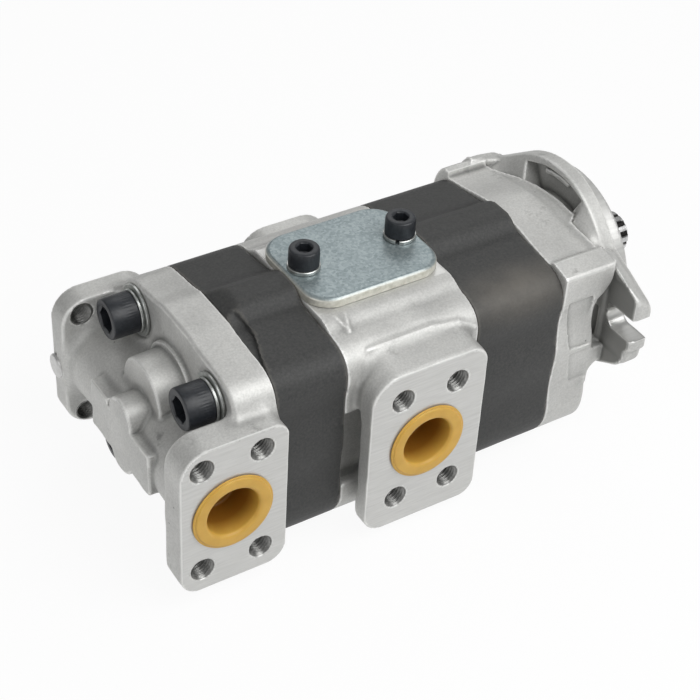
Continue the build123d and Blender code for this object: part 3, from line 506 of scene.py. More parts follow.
# %% Finishes of the small parts
def paint_shaft(tree, place):
    """Ground steel with painted shade in the grooves of the spline, below 9 mm from the axis."""
    fine = noise(tree, place, 0.5, 3.0, 0.6, (4.0, 0.4, 0.4))
    plain = ramp(tree, fine, [(0.3, 0.42), (0.7, 0.58)])
    flat = add_node(tree, "ShaderNodeVectorMath", {0: place, 1: (0.0, 1.0, 1.0)}, operation="MULTIPLY")
    far = add_node(tree, "ShaderNodeVectorMath", {0: flat.outputs[0]}, operation="LENGTH").outputs["Value"]
    # painted shade: the grooves of the spline darkened, but not the end face
    low = spread(tree, far, 0.0091, 0.0083)
    side = spread(tree, facing(tree, 0), 0.6, 0.3)
    return mix(tree, times(tree, low, side), plain, (0.035, 0.034, 0.032))


bright_paint = speckled((0.36, 0.38, 0.37), (0.55, 0.56, 0.54))
bright = finish_of("bright zinc", bright_paint, 0.85, 0.3, [(2.0, evenly, 0.02, 0.2)])
oxide_paint = speckled((0.010, 0.012, 0.015), (0.022, 0.025, 0.030), 0.8)
oxide = finish_of("black oxide", oxide_paint, 0.0, 0.4, [(1.8, evenly, 0.03, 0.25)], 0.45)
turned_paint = speckled((0.50, 0.50, 0.49), (0.62, 0.62, 0.61), 0.4)
turned = finish_of("turned plug", turned_paint, 0.7, 0.34, [(1.0, evenly, 0.02, 0.2)])
ground_bumps = [(2.5, (3, 0.3, 0.3), 0.01, 0.2)]
ground_paint = speckled((0.42, 0.42, 0.42), (0.58, 0.58, 0.57), 0.5, (4.0, 0.4, 0.4))
ground = finish_of("ground steel", ground_paint, 0.9, 0.25, ground_bumps)
splined = finish_of("splined shaft", paint_shaft, 0.9, 0.25, ground_bumps)
bronze_paint = speckled((0.42, 0.28, 0.12), (0.56, 0.38, 0.18), 0.5, (3, 1, 1))
bronze = finish_of("bearing bronze", bronze_paint, 0.9, 0.32, [(1.5, evenly, 0.02, 0.2)])
rubber_paint = speckled((0.012, 0.012, 0.013), (0.025, 0.025, 0.026), 0.7)
rubber = finish_of("seal rubber", rubber_paint, 0.0, 0.55, [(1.0, evenly, 0.04, 0.3)])
spring_paint = speckled((0.045, 0.045, 0.048), (0.08, 0.08, 0.085), 0.7)
spring = finish_of("phosphated steel", spring_paint, 0.6, 0.4, [(1.5, evenly, 0.02, 0.3)])
thread_paint = speckled((0.17, 0.17, 0.165), (0.27, 0.27, 0.26), 1.0)
cut_thread = finish_of("cut thread", thread_paint, 0.9, 0.34, [(2.0, evenly, 0.02, 0.2)])
print("finishes:", [m.name for m in bpy.data.materials])

# %% [markdown]
# ## From a field to a casting
# Every casting goes the same way: mesh its field, pick the machined faces, measure where it bends, and
# thin out the flat areas. Edges and corners are found by smoothing a copy of the mesh: a point that stood
# out moves in, and a point in a hollow moves out.


# %% Cast a field into a mesh
def bends(verts, quads, step):
    """Edge and hollow values from 0 to 1: how far a point stands out of, or lies below, its neighbours.

    Each round moves p to (p + mean of its neighbours) / 2; edge is taken after 2 rounds, hollow after 24.
    """
    a = np.concatenate([quads[:, k] for k in range(4)])
    b = np.concatenate([quads[:, (k + 1) % 4] for k in range(4)])
    p, q, r = verts[quads[:, 0]], verts[quads[:, 1]], verts[quads[:, 3]]
    area = np.cross(q - p, r - p)
    sums = [sum(np.bincount(quads[:, k], area[:, i], len(verts)) for k in range(4)) for i in range(3)]
    normal = np.stack(sums, 1)
    normal /= np.linalg.norm(normal, axis=1, keepdims=True) + 1e-9
    count = np.bincount(a, minlength=len(verts))[:, None]
    place, found = verts.astype(float), {}
    for turn in range(1, 25):
        mean = np.stack([np.bincount(a, place[b, i], len(verts)) for i in range(3)], 1) / count
        place = (place + mean) / 2
        if turn in (2, 24):
            found[turn] = ((verts - place) * normal).sum(axis=1)
    return np.clip(found[2] / (0.16 * step), 0, 1), np.clip(-found[24] / (0.9 * step), 0, 1)


def thin_out(obj, most, crease):
    """Collapses edges, flat areas first, until the mesh has at most that many triangles."""
    share = most / (2 * len(obj.data.polygons))
    if share < 1:
        obj.modifiers.new("thin out", "DECIMATE").ratio = share
        graph = bpy.context.evaluated_depsgraph_get()
        full, obj.data = obj.data, bpy.data.meshes.new_from_object(obj.evaluated_get(graph))
        obj.modifiers.clear()
        bpy.data.meshes.remove(full)
    obj.data.set_sharp_from_angle(angle=math.radians(crease))


def cast(name, field, axes, step, skins, milled_at, crease=34, most=180000):
    """Mesh object of a casting; milled_at(centres) picks the faces that take the second and third skin."""
    verts, quads = surface_net(field.astype(np.float32), axes, step)
    obj = make_mesh(name, verts, quads)
    for skin in skins:
        obj.data.materials.append(skin)
    choice = milled_at(verts[quads].mean(axis=1)).astype(np.int32)
    obj.data.polygons.foreach_set("material_index", choice)
    for word, values in zip(("edge", "hollow"), bends(verts, quads, step)):
        obj.data.attributes.new(word, "FLOAT", "POINT").data.foreach_set("value", values.astype(np.float32))
    thin_out(obj, most, crease)
    print(name, len(verts), "grid points,", len(obj.data.polygons), "faces kept")
    return obj


print("foundry ready")

# %% [markdown]
# ## The casing outline
# All sections share one outline: a low crown, sloping shoulders and sides with shallow waves. The suction
# side is lower and rounder than the outlet side. A pattern maker draws such a shape with curves, so it is
# a chain of cubic curves here, the same as in the solids.


# %% Sides of the outline
def wavy_side(out, waist, half, start):
    """Waves down one side and round the bottom corner; the widths are negative on the outlet side."""
    turn = np.linspace(0, math.pi / 2, 12)
    side = math.copysign(20.0, out)
    arc = np.stack([half - side + side * np.cos(turn), -44.0 - 20.0 * np.sin(turn)], axis=1)
    return [
        bezier((out, start), (out, start - 4.0), (waist, 9.0), (waist, 5.0)),
        bezier((waist, 5.0), (waist, -1.0), (out, -6.0), (out, -12.0)),
        bezier((out, -12.0), (out, -18.0), (waist, -24.0), (waist, -30.0)),
        bezier((waist, -30.0), (waist, -35.0), (half, -39.0), (half, -44.0)),
        arc,
    ]


near_low = wavy_side(-49.9, -48.7, -49.5, 17.0)
far_low = wavy_side(48.7, 47.8, 48.4, 12.0)
near_side = [bezier((-37, 30), (-44, 29.3), (-49.9, 25), (-49.9, 17), 12)] + near_low
far_side = [bezier((33, 29.2), (41, 28.8), (48.7, 21), (48.7, 12), 12)] + far_low
print("points down one side:", sum(len(piece) for piece in near_side))

# %% [markdown]
# Only the tops differ. The gear housings have the highest crown, the cover and the flange are lower, and
# the centre housing is flat where its plate lies. Two sides and a top make a closed outline.


# %% Outlines of the sections
def closed(far, near):
    """Closed outline from its two sides, both given from the top down."""
    return np.vstack([np.vstack(far), np.vstack(near)[::-1]])


gear_outline = closed(
    [bezier((1, 37.3), (7, 37.3), (8.5, 32.8), (14, 31.8), 10), [(14, 31.8)]] + far_side,
    [bezier((-5, 37.3), (-11, 37.3), (-12, 32.4), (-17, 31.9), 10), [(-17, 31.9)]] + near_side,
)
cover_outline = closed(
    [bezier((8, 33.2), (12, 33.2), (14, 31.8), (20, 31), 8), [(20, 31)]] + far_side,
    [bezier((-9, 33.2), (-14, 33.2), (-16, 31.8), (-21, 31.4), 8), [(-21, 31.4)]] + near_side,
)
centre_outline = closed(
    [bezier((24, 33.5), (28, 33.5), (29, 29.8), (33, 29.2), 8)] + far_side,
    [bezier((-26, 33.5), (-31, 33.5), (-33, 30.6), (-37, 30), 8)] + near_side,
)
flange_outline = closed(
    [bezier((4, 34.4), (12, 34.4), (24, 30.2), (38.3, 28.6), 12), [(38.3, 28.6), (38.7, 31.2)]]
    + [bezier((41, 31.8), (44.5, 30.8), (48.7, 24), (48.7, 15), 10)] + wavy_side(48.7, 47.8, 48.4, 15.0),
    [bezier((-6, 34.4), (-14, 34.4), (-24, 30.6), (-38.4, 29.2), 12)]
    + [[(-38.4, 29.2), (-38.8, 30.7), (-40.4, 31.3), (-49.2, 29.0), (-49.9, 28.1)]] + near_low,
)
print("outline points:", len(gear_outline), len(cover_outline), len(centre_outline), len(flange_outline))

# %% [markdown]
# ## Sizes that the castings share
# Five castings are bolted together, so the joints, the bolts, the gear axes and the ports have to agree
# in all of them. Each size is named once. A foundry skin is never flat, and a sum of slow sine waves
# gives it the same unevenness at every joint.

# %% Shared sizes
STEP = 0.65
FOOT = -64.0
COVER_FACE = -196.0
COVER_JOINT, REAR_JOINT, CENTRE_JOINT, FLANGE_JOINT = -177.5, -145.0, -82.0, -38.0
GEAR_AXES = (0.0, -35.0)
BUSH_BORE, BOLT_BORE = 13.7, 6.8
PORT_Z, PORT_R, TAP_R = -17.5, 12.7, 5.0
TAPS = [(a, b) for a in (-13.1, 13.1) for b in (-26.2, 26.2)]
PORTS = {
    "rear_outlet": (-202.3, -60.0),
    "rear_suction": (-200.5, 60.0),
    "centre_outlet": (-113.0, -62.5),
    "centre_suction": (-111.5, 60.0),
}
bolts = [(-32.0, 16.4), (32.0, 16.4), (-31.0, -49.5), (31.0, -49.5)]


def sand(x, y, z, size=0.05):
    """Slow unevenness of a sand casting: a sum of sine waves along turned directions, size mm high."""
    a = np.sin(0.31 * x + 0.17 * y + 1.3) * np.sin(0.23 * y - 0.29 * z + 0.4)
    b = np.sin(0.47 * z + 0.21 * x + 2.1) * np.sin(0.39 * y + 0.11 * z)
    return size * (a + b)


def tell(what, field, step):
    """Prints the volume of metal: the number of samples below zero times step^3, in cubic centimetres."""
    print(what, "-", round(float((field < 0).sum()) * step**3 / 1000, 1), "cm3 of metal")


print("length over the joints:", COVER_JOINT, "to", FLANGE_JOINT, "mm")

# %% [markdown]
# Every port is one bore with four tapped holes round it, so one function drills all four ports. Each hole
# starts with a small chamfer, which the photograph shows as a bright ring.


# %% Drill a port
def port_holes(d, x, y, z, port, deep, tapped):
    """Cuts a port bore and its four tapped holes, each with a chamfer, into the block behind a port face."""
    cx, face = PORTS[port]
    into = math.copysign(1.0, face) * (face - y)
    for cu, cv, r in [(cx, PORT_Z, PORT_R)] + [(cx + a, PORT_Z + b, TAP_R) for a, b in TAPS]:
        reach, bevel = (deep, 0.8) if r == PORT_R else (tapped, 0.6)
        hole = disc(x, z, cu, cv, r)
        d = cut(d, np.maximum(np.minimum(hole, hole - bevel + into), into - reach))
    return d


def port_skin(c, port):
    """1 on the milled port face, 2 in its holes, 0 elsewhere."""
    cx, face = PORTS[port]
    flat = np.abs(c[:, 1] - face) < 0.05
    hole = disc(c[:, 0], c[:, 2], cx, PORT_Z, 13.4) < 0
    for a, b in TAPS:
        hole |= disc(c[:, 0], c[:, 2], cx + a, PORT_Z + b, 5.5) < 0
    hole &= (c[:, 1] * np.sign(face) > 30) & ~flat
    return np.where(flat, 1, np.where(hole, 2, 0))


print("ports:", list(PORTS))

# %% [markdown]
# ## The rear cover
# The real cover is one sand casting: an end plate, the barrel of the passages behind it and two port
# blocks. Plain booleans would leave knife-sharp seams between them. As fields they join with the fillet
# of the pattern, and the barrel may swell towards its ends.

# %% Plate, barrel and port blocks
axes, x, y, z = grid((-225, -60, FOOT), (COVER_JOINT, 60, 34), STEP)
edge = polygon(y, z, cover_outline)
plate = prism(edge, slab(x, COVER_FACE, -170.0), 0.5)
plate = keep(plate, (edge - x + COVER_FACE + 1.2) / 1.414, 0.25)
barrel = np.maximum(disc(x, z, -201.0, PORT_Z, 18.8 + 1.6 * (y / 45.0) ** 2), slab(y, -50.0, 52.0))
near_block = prism(rect(x, z, -224.9, COVER_JOINT, -55.0, 18.4, (9, 9, 7, 13)), slab(y, -75.0, -46.0), 1.5)
far_flange = prism(rect(x, z, -223.0, -179.0, -50.5, 16.0, 12.5), slab(y, 49.0, 75.0), 1.1)
metal = join(plate, barrel, 9.0)
metal = join(metal, near_block, 5.0)
metal = join(metal, far_flange, 6.0)
tell("cover, port blocks", metal, STEP)

# %% [markdown]
# Behind the drive shaft stands a round boss on a low step, and the stepped pad covers the crossing
# between the passages. Both are small, so their blends are tight.

# %% Boss and pad
from_shaft = np.sqrt(y**2 + z**2)
step_boss = prism(from_shaft - 19.0, slab(x, -198.0, -190.0), 0.6)
boss = prism(from_shaft - 16.0 + 0.04 * (-211.0 - x), slab(x, -211.0, -190.0), 0.9)
metal = join(join(metal, step_boss, 1.0), boss, 1.2)
pad = join(disc(y, z, -1.7, np.clip(z, -25.0, -7.0), 9.6), rect(y, z, -27.0, 25.0, -29.0, -8.0, 1.5), 0.8)
pad = join(pad, rect(y, z, 9.5, 25.0, -20.0, -5.0, 0.8), 0.5)
metal = join(metal, prism(pad, slab(x, -222.0, -205.0), 0.7), 1.2)
metal = metal + sand(x, y, z)
tell("cover, boss and pad", metal, STEP)

# %% [markdown]
# The machine shop faces the four bolt seats, drills the bolts and the ports, bores the pockets of the
# bushes and mills slots for the passages. The three flat cuts at the end stop the casting at its joint, at
# its foot and at the port faces.

# %% Drill and mill the cover
for by, bz in bolts:
    metal = cut(metal, np.maximum(disc(y, z, by, bz, 12.0), x - COVER_FACE), 1.2)
    metal = cut(metal, disc(y, z, by, bz, BOLT_BORE))
metal = port_holes(metal, x, y, z, "rear_outlet", 40.0, 18.0)
metal = port_holes(metal, x, y, z, "rear_suction", 40.0, 18.0)
for bz in GEAR_AXES:
    metal = cut(metal, np.maximum(disc(y, z, 0.0, bz, BUSH_BORE), -192.6 - x))
for sy in (-25.0, 25.0):
    metal = cut(metal, np.maximum(rect(y, z, sy - 5.0, sy + 5.0, -24.5, -10.5, 4.9), -201.0 - x))
metal = cut(metal, np.maximum(disc(y, z, 54.8, -19.0, 4.7), x + 217.0))
metal = keep(metal, slab(x, -224.9, COVER_JOINT))
metal = keep(metal, FOOT - z)
metal = keep(metal, slab(y, -60.0, 60.0))
tell("cover, machined", metal, STEP)

# %% [markdown]
# Milled faces are bright beside the cast skin. They are told apart by place: a face whose centre lies in a
# port plane, in a port hole or on a bolt seat takes the machined finish.


# %% Mesh the cover
def rear_skin(c):
    """Port faces, their holes and the seats of the bolts."""
    seat = np.abs(c[:, 0] - COVER_FACE) < 0.06
    near = np.min([disc(c[:, 1], c[:, 2], by, bz, 11.8) for by, bz in bolts], axis=0) < 0
    return np.maximum(np.maximum(port_skin(c, "rear_outlet"), port_skin(c, "rear_suction")), seat & near)


rear_cover = cast("rear_cover_casting", metal, axes, STEP, (cast_metal, milled, bore), rear_skin)

# %% [markdown]
# ## The two gear housings
# These are slices of the same outline in dark iron, with the figure-of-eight chamber of a gear pair and
# straight bolt holes. Iron carries the pressure; its joint edges are only just broken. One function casts
# both, and the grid may be coarser, because their form is plain.


# %% Cast a gear housing
def gear_housing(name, start, end, extra=None, step=0.85):
    """Housing between two joint faces, with the figure-of-eight chamber for both gears."""
    axes, x, y, z = grid((start, -50, FOOT), (end, 49, 37.4), step)
    outline = polygon(y, z, gear_outline)
    metal = prism(outline, slab(x, start, end), 0.45) + 0.6 * sand(x, y, z)
    if extra is not None:
        metal = extra(metal, outline, x, y, z)
    hollow = np.minimum(*[disc(y, z, 0.0, bz, 21.5) for bz in GEAR_AXES])
    hollow = np.minimum(hollow, rect(y, z, -30.2, 30.2, -24.7, -10.3, 7.0))
    metal = cut(metal, np.broadcast_to(hollow, metal.shape))
    for by, bz in bolts:
        metal = cut(metal, disc(y, z, by, bz, BOLT_BORE))
    metal = keep(keep(metal, slab(x, start, end)), FOOT - z)
    tell(name, metal, step)
    return cast(name, metal, axes, step, (iron,), lambda c: np.zeros(len(c)), 40, 70000)


front_housing = gear_housing("front_gear_housing_casting", CENTRE_JOINT, FLANGE_JOINT)

# %% [markdown]
# The rear housing is higher than the cover beside it, so its top slopes down to the cover, and a shallow
# scalloped relief is cast into its near shoulder.

# %% Slope and relief of the rear housing
relief_plan = np.vstack([
    [(-190.0, -44.0), (-190.0, -7.0), (-177.5, -7.0)],
    bezier((-177.5, -7.0), (-172.0, -8.0), (-169.5, -16.0), (-172.4, -24.0), 10),
    bezier((-172.4, -24.0), (-174.6, -31.0), (-176.8, -37.0), (-177.5, -44.0), 10),
])


def rear_relief(metal, outline, x, y, z):
    """Slope down to the cover, and the scalloped relief 1.8 mm deep next to it."""
    slope = (z - 33.2 - 0.6286 * (x - COVER_JOINT)) / 1.181
    metal = keep(metal, slope, 1.2)
    dip = np.maximum(np.maximum(polygon(x, y, relief_plan), -(outline + 1.8)), 20.0 - z)
    return cut(metal, dip, 0.6)


rear_housing = gear_housing("rear_gear_housing_casting", COVER_JOINT, REAR_JOINT, rear_relief)

# %% [markdown]
# ## The centre housing
# It joins both pumps. Its top is flat for a plate, and on the outlet side a thin port plate stands on a
# neck with a cored pocket behind it. The core of the mould leaves round inner corners, hence the wide
# blend of the pocket.

# %% Body, neck and port plate
FINE = 0.75
axes, x, y, z = grid((REAR_JOINT, -62.5, FOOT), (CENTRE_JOINT, 60, 33.5), FINE)
body = prism(polygon(y, z, centre_outline), slab(x, REAR_JOINT, CENTRE_JOINT), 0.4)
port_plate = prism(rect(x, z, -141.0, -85.8, -58.5, 22.0, (9, 7, 8, 13)), slab(y, -75.0, -54.0), 1.5)
neck = np.minimum(
    rect(x, z - 0.2 * (y + 60.0), -140.0, -86.4, -1.0, 22.4, (2, 2, 8, 13)),
    rect(x, z, -127.0, -86.4, -56.0, 10.0, 6.0),
)
neck = prism(neck, slab(y, -61.0, -40.0), 0.8)
metal = join(body, neck, 3.0)
metal = join(metal, port_plate, 2.5)
pocket = prism(rect(x, z, -150.0, -128.0, -39.5, -1.5, 4.0), slab(y, -54.0, -42.5), 2.0)
metal = cut(metal, pocket, 2.5)
tell("centre, outlet side", metal, FINE)

# %% [markdown]
# Foundries leave raised marks: here a V by the corner of the plate and a low seam above the block. Each
# is a chain of thin rods that sink into the surface. The suction side gets a rounder flange on a neck.


# %% Raised marks and suction flange
def rod(x, y, z, a, b, r):
    """Distance to a rod of radius r from a to b."""
    a, b = np.array(a, float), np.array(b, float)
    d = b - a
    t = np.clip(((x - a[0]) * d[0] + (y - a[1]) * d[1] + (z - a[2]) * d[2]) / (d @ d), 0, 1)
    return np.sqrt((x - a[0] - d[0] * t) ** 2 + (y - a[1] - d[1] * t) ** 2 + (z - a[2] - d[2] * t) ** 2) - r


tip = (-136.8, -36.0, 30.1)
for end in ((-139.8, -27.0, 33.4), (-133.8, -27.0, 33.4)):
    metal = join(metal, rod(x, y, z, tip, end, 1.0), 0.6)
seam_points = [(-134.0, -45.9, 26.0), (-104.0, -45.7, 26.3), (-91.0, -47.0, 25.0), (-84.0, -49.0, 21.8)]
seam = rod(x, y, z, seam_points[0], seam_points[1], 0.9)
for a, b in zip(seam_points[1:], seam_points[2:]):
    seam = join(seam, rod(x, y, z, a, b, 0.9), 0.5)
metal = join(metal, seam, 1.4)
far_neck = prism(rect(x, z, -131.5, -91.5, -45.0, 11.0, 11.0), slab(y, 40.0, 56.0))
far_plate = prism(rect(x, z, -133.5, -89.5, -50.5, 16.0, 13.0), slab(y, 51.0, 75.0), 1.5)
metal = join(metal, far_neck, 6.0)
metal = join(metal, far_plate, 2.5)
metal = metal + sand(x, y, z)
tell("centre, all of the casting", metal, FINE)

# %% [markdown]
# The same shop work follows: bolt holes, two ports, the bores of the bushes, which stop in the middle for
# the driven gears, the passages, and two holes under the plate for its screws.

# %% Drill and mill the centre housing
for by, bz in bolts:
    metal = cut(metal, disc(y, z, by, bz, BOLT_BORE))
metal = port_holes(metal, x, y, z, "centre_outlet", 42.5, 18.0)
metal = port_holes(metal, x, y, z, "centre_suction", 40.0, 18.0)
metal = cut(metal, disc(y, z, 0.0, GEAR_AXES[0], BUSH_BORE))
metal = cut(metal, np.maximum(disc(y, z, 0.0, GEAR_AXES[1], BUSH_BORE), -slab(x, -124.9, -102.1)))
for sy in (-25.0, 25.0):
    metal = cut(metal, np.maximum(rect(y, z, sy - 5.0, sy + 5.0, -24.5, -10.5, 4.9), -112.5 - x))
plate_screw_x = (-136.4, -89.7)
for sx in plate_screw_x:
    metal = cut(metal, np.maximum(disc(x, y, sx, 0.0, 4.3), 18.0 - z))
metal = keep(metal, slab(x, REAR_JOINT, CENTRE_JOINT))
metal = keep(metal, FOOT - z)
metal = keep(metal, slab(y, -62.5, 60.0))
metal = keep(metal, z - 33.5)
tell("centre, machined", metal, FINE)

# %% [markdown]
# Machined here are both port faces with their holes, and the flat seat on top that shows round the plate.


# %% Mesh the centre housing
def centre_skin(c):
    """Port faces, their holes and the seat of the plate."""
    seat = (c[:, 2] > 33.45) & (np.abs(c[:, 1]) < 25.5)
    return np.maximum(np.maximum(port_skin(c, "centre_outlet"), port_skin(c, "centre_suction")), seat)


centre = cast("centre_housing_casting", metal, axes, FINE, (cast_metal, milled, bore), centre_skin)

# %% [markdown]
# ## The front flange
# This casting bolts to the machine. It has the body of the other sections, a mounting plate with two ears
# and ribs along its top corners. The outline of the plate comes from the photograph: straight flanks
# between round arcs, drawn as a chain of curves.

# %% Body and mounting plate
ear_outline = np.vstack([
    bezier((0, 46.8), (12.5, 46.8), (20.5, 42.9), (26.1, 39.1), 12),
    [(26.1, 39.1)],
    bezier((60.5, 15.5), (62.5, 14.2), (64.2, 12.5), (64.2, 9.0), 6),
    bezier((64.2, -9.0), (64.2, -12.5), (62.5, -14.2), (60.5, -15.5), 6),
    bezier((26.1, -39.1), (11.0, -49.2), (-7.5, -48.4), (-21.6, -41.0), 16),
    bezier((-56.5, -22.6), (-60.0, -20.7), (-61.8, -18.5), (-61.8, -14.5), 8),
    bezier((-61.8, -14.5), (-61.8, -11.5), (-64.2, -12.0), (-64.2, -9.0), 6),
    bezier((-64.2, 7.5), (-64.2, 12.5), (-60.5, 13.0), (-56.5, 14.9), 8),
    bezier((-34.8, 25.6), (-27.2, 36.8), (-14.6, 46.8), (0, 46.8), 14),
])
PLATE_BACK, EAR_BACK = -7.0, -10.2
PILOT_X, PILOT_R = 6.35, 41.275
EAR_TIP = 64.2
axes, x, y, z = grid((FLANGE_JOINT, -64.5, FOOT), (PILOT_X, 64.5, 47.5), STEP)
outline = polygon(y, z, flange_outline)
ear = polygon(y, z, ear_outline)
r = np.sqrt(y**2 + z**2)
angle = np.degrees(np.arctan2(z, y))
body = prism(outline, slab(x, -60.0, -16.5), 2.0)
plate = prism(ear, slab(x, PLATE_BACK, 0.0), 0.6)
neck = np.minimum(r - 31.0, rect(y, z, -38.0, 38.0, -35.0, 15.0, 12.0))
metal = join(body, prism(neck, slab(x, -25.0, -3.0)), 5.0)
tell("flange, body", metal, STEP)

# %% [markdown]
# The ears are thicker than the plate, and the top of each slopes down from its back edge to the front.
# Below them a hollow fillet leads from the plate back to the corner of the body.

# %% Ears
hollow = np.maximum(rect(x, z, -18.0, -5.0, -34.5, -16.0, 0.5), 10.0 - disc(x, z, PLATE_BACK, -34.5, 0.0))
hollow = np.maximum(hollow, np.maximum(outline + 0.5, 41.0 - np.abs(y)))
metal = join(join(metal, hollow, 2.0), plate, 3.0)
lean = keep((z - 17.1 + 0.45 * (np.abs(y) - 50.0) + 0.76 * x) / 1.33, np.abs(y) - EAR_TIP, 2.0)
upper_arm = np.maximum(lean, np.maximum(-z, 38.0 - np.abs(y)))
lower_arm = np.maximum(ear, np.maximum(z - 1.0, 42.0 - np.abs(y)))
metal = join(metal, prism(np.minimum(upper_arm, lower_arm), slab(x, EAR_BACK, -0.6), 0.6), 1.0)
tell("flange, ears", metal, STEP)

# %% [markdown]
# The low floor between the ribs ends in a lip in front of the plate. The gap behind the lip changes
# across the top, so the place of the lip is a table over y. From the lip the surface climbs to the rim
# of the plate, as a blend of the two outlines.

# %% Floor, lip and climb
lip_x = np.interp(y, [-39, -20, -17, 0, 19, 34, 39], [-12.2, -13.4, -9.4, -10.2, -12.5, -16.5, -17.0])
upper = np.maximum(np.maximum(outline, x - lip_x), 13.0 - z)
metal = join(metal, upper, 1.0)
bead = np.maximum(outline - 0.6, slab(x, lip_x - 1.1, lip_x))
bead = np.maximum(bead, np.maximum(slab(y, -38.2, 38.2), 13.0 - z))
metal = join(metal, bead, 0.6)
share = np.clip((x - lip_x) / (PLATE_BACK - lip_x), 0, 1)
climb = (1 - share) * (outline + 2.2) + share * (ear + 0.3)
climb = np.maximum(climb, np.maximum(slab(x, -17.5, -5.0), np.maximum(12.0 - z, slab(y, -40.0, 40.0))))
metal = join(metal, climb, 0.8)
tell("flange, floor", metal, STEP)

# %% [markdown]
# A rib stands on each top corner and runs down to the rim of the plate, steeply on the outlet side and
# slowly on the suction side, where it also swells outwards. Each fall is a slanted plane.

# %% Ribs
near_fall = np.maximum((0.95 * (x + 12.0) + z - 30.4) / 1.38, (x + 12.0 - y - 49.9) / 1.41)
far_fall = (0.28 * (x + 23.0) + z - 33.0) / 1.04
fall = np.where(y < 0, near_fall, far_fall)
rib = np.maximum(np.maximum(outline, x + 3.0), np.maximum(13.0 - z, np.maximum(fall, 38.8 - np.abs(y))))
metal = join(metal, rib, 0.6)
swell = np.maximum(outline - 1.4, slab(x, -24.0, -6.0))
swell = np.maximum(swell, np.maximum(np.maximum(40.0 - y, far_fall), 14.0 - z))
metal = join(metal, swell, 2.0)
tell("flange, ribs", metal, STEP)

# %% [markdown]
# The rest is hollow: a cored pocket in the back of the plate with a bar across it, the room for the heads
# of the mounting screws, the open slots of the ears and two flat panels on each side.

# %% Pocket, slots and panels
pocket = np.maximum(slab(r, 30.0, 43.8), slab(angle, 62.0, 114.0) * 0.65)
metal = cut(metal, np.maximum(pocket, slab(x, lip_x + 0.3, -3.0)), 1.2)
bar = np.maximum(np.maximum(slab(r, 38.8, 41.2), slab(angle, 74.0, 98.0) * 0.65), slab(x, -5.0, -2.0))
metal = join(metal, bar, 0.8)
relief = 9.0 * (np.sqrt(((x - PLATE_BACK) / 10.6) ** 2 + ((z - 1.0) / 17.0) ** 2) - 1.0)
metal = cut(metal, np.maximum(np.maximum(relief, 46.5 - np.abs(y)), x - EAR_BACK), 3.5)
SLOT_Y, SLOT_R = 53.2, 5.55
slot = np.where(np.abs(y) > SLOT_Y, np.abs(z) - SLOT_R, disc(np.abs(y), z, SLOT_Y, 0.0, SLOT_R))
metal = cut(metal, np.maximum(slot, slab(x, -15.0, 5.0)), 0.5)
for low, high, deep in ((-11.5, 15.5, 0.7), (-31.0, -14.0, 0.4)):
    panel = np.maximum(rect(x + 0.17 * (z - 15.0), z, -34.7, -21.5, low, high, 1.0), -(outline + deep))
    metal = cut(metal, np.maximum(panel, 40.0 - np.abs(y)), 0.3)
metal = metal + sand(x, y, z)
tell("flange, all of the casting", metal, STEP)

# %% [markdown]
# The pilot is a turned disc that centres the pump in the machine, so it is joined after the sand skin and
# stays exact. Then come the bores of the shaft, its seal ring and groove, the bushes and the bolts.

# %% Pilot and bores
metal = np.minimum(metal, prism(r - PILOT_R, slab(x, -2.0, PILOT_X), 0.6))
metal = cut(metal, np.maximum(r - 11.9, -22.2 - x))
for bz in GEAR_AXES:
    metal = cut(metal, np.maximum(disc(y, z, 0.0, bz, BUSH_BORE), x + 19.9))
metal = cut(metal, np.maximum(r - 17.7, -6.0 - x))
metal = cut(metal, np.maximum(r - 18.9, slab(x, 2.2, 4.0)))
for by, bz in bolts:
    metal = cut(metal, np.maximum(disc(y, z, by, bz, 6.3), x + 18.8))
metal = keep(metal, slab(x, FLANGE_JOINT, PILOT_X))
metal = keep(metal, FOOT - z)
metal = keep(metal, slab(y, -EAR_TIP, EAR_TIP))
tell("flange, machined", metal, STEP)

# %% [markdown]
# The mounting face, the pilot and the slots are machined, because they locate the pump in its machine. The
# rest of the flange stays as cast.


# %% Mesh the flange
def flange_skin(c):
    """Mounting face, pilot and slots."""
    front = c[:, 0] > -0.06
    slot = (np.abs(c[:, 2]) < 5.75) & (np.abs(c[:, 1]) > 47.4) & (c[:, 0] > -10.1)
    return np.where(slot, 2, np.where(front, 1, 0))


flange = cast("front_flange_casting", metal, axes, STEP, (cast_metal, milled, bore), flange_skin)

# %% [markdown]
# ## Turned parts
# Screws, washers, plugs and threads come from a lathe or a mould, so they are skins through rings of
# points and cost far fewer faces than a field. A ring may be a circle, a hexagon or anything between, so
# one function draws a screw head with its knurl and its hexagon socket.


# %% Rings and skins
def skin(rows, wrap=False):
    """Vertices and outward quads through rings (n, m, 3), m even; wrap joins the last ring to the first."""
    n, m = rows.shape[:2]
    ring = np.arange(m)
    start = np.arange(n if wrap else n - 1)[:, None]
    low, high = start * m, (start + 1) % n * m
    quads = np.stack([low + ring, low + (ring + 1) % m, high + (ring + 1) % m, high + ring], axis=-1)
    quads, verts = quads.reshape(-1, 4), rows.reshape(-1, 3)
    if not wrap:
        even, top = ring[::2], (n - 1) * m
        first, last = np.full(m // 2, n * m), np.full(m // 2, n * m + 1)
        caps = [
            np.stack([first, (even + 2) % m, even + 1, even], axis=-1),
            np.stack([last, top + even, top + even + 1, top + (even + 2) % m], axis=-1),
        ]
        verts = np.vstack([verts, rows[0].mean(axis=0), rows[-1].mean(axis=0)])
        quads = np.vstack([quads] + caps)
    return verts, quads


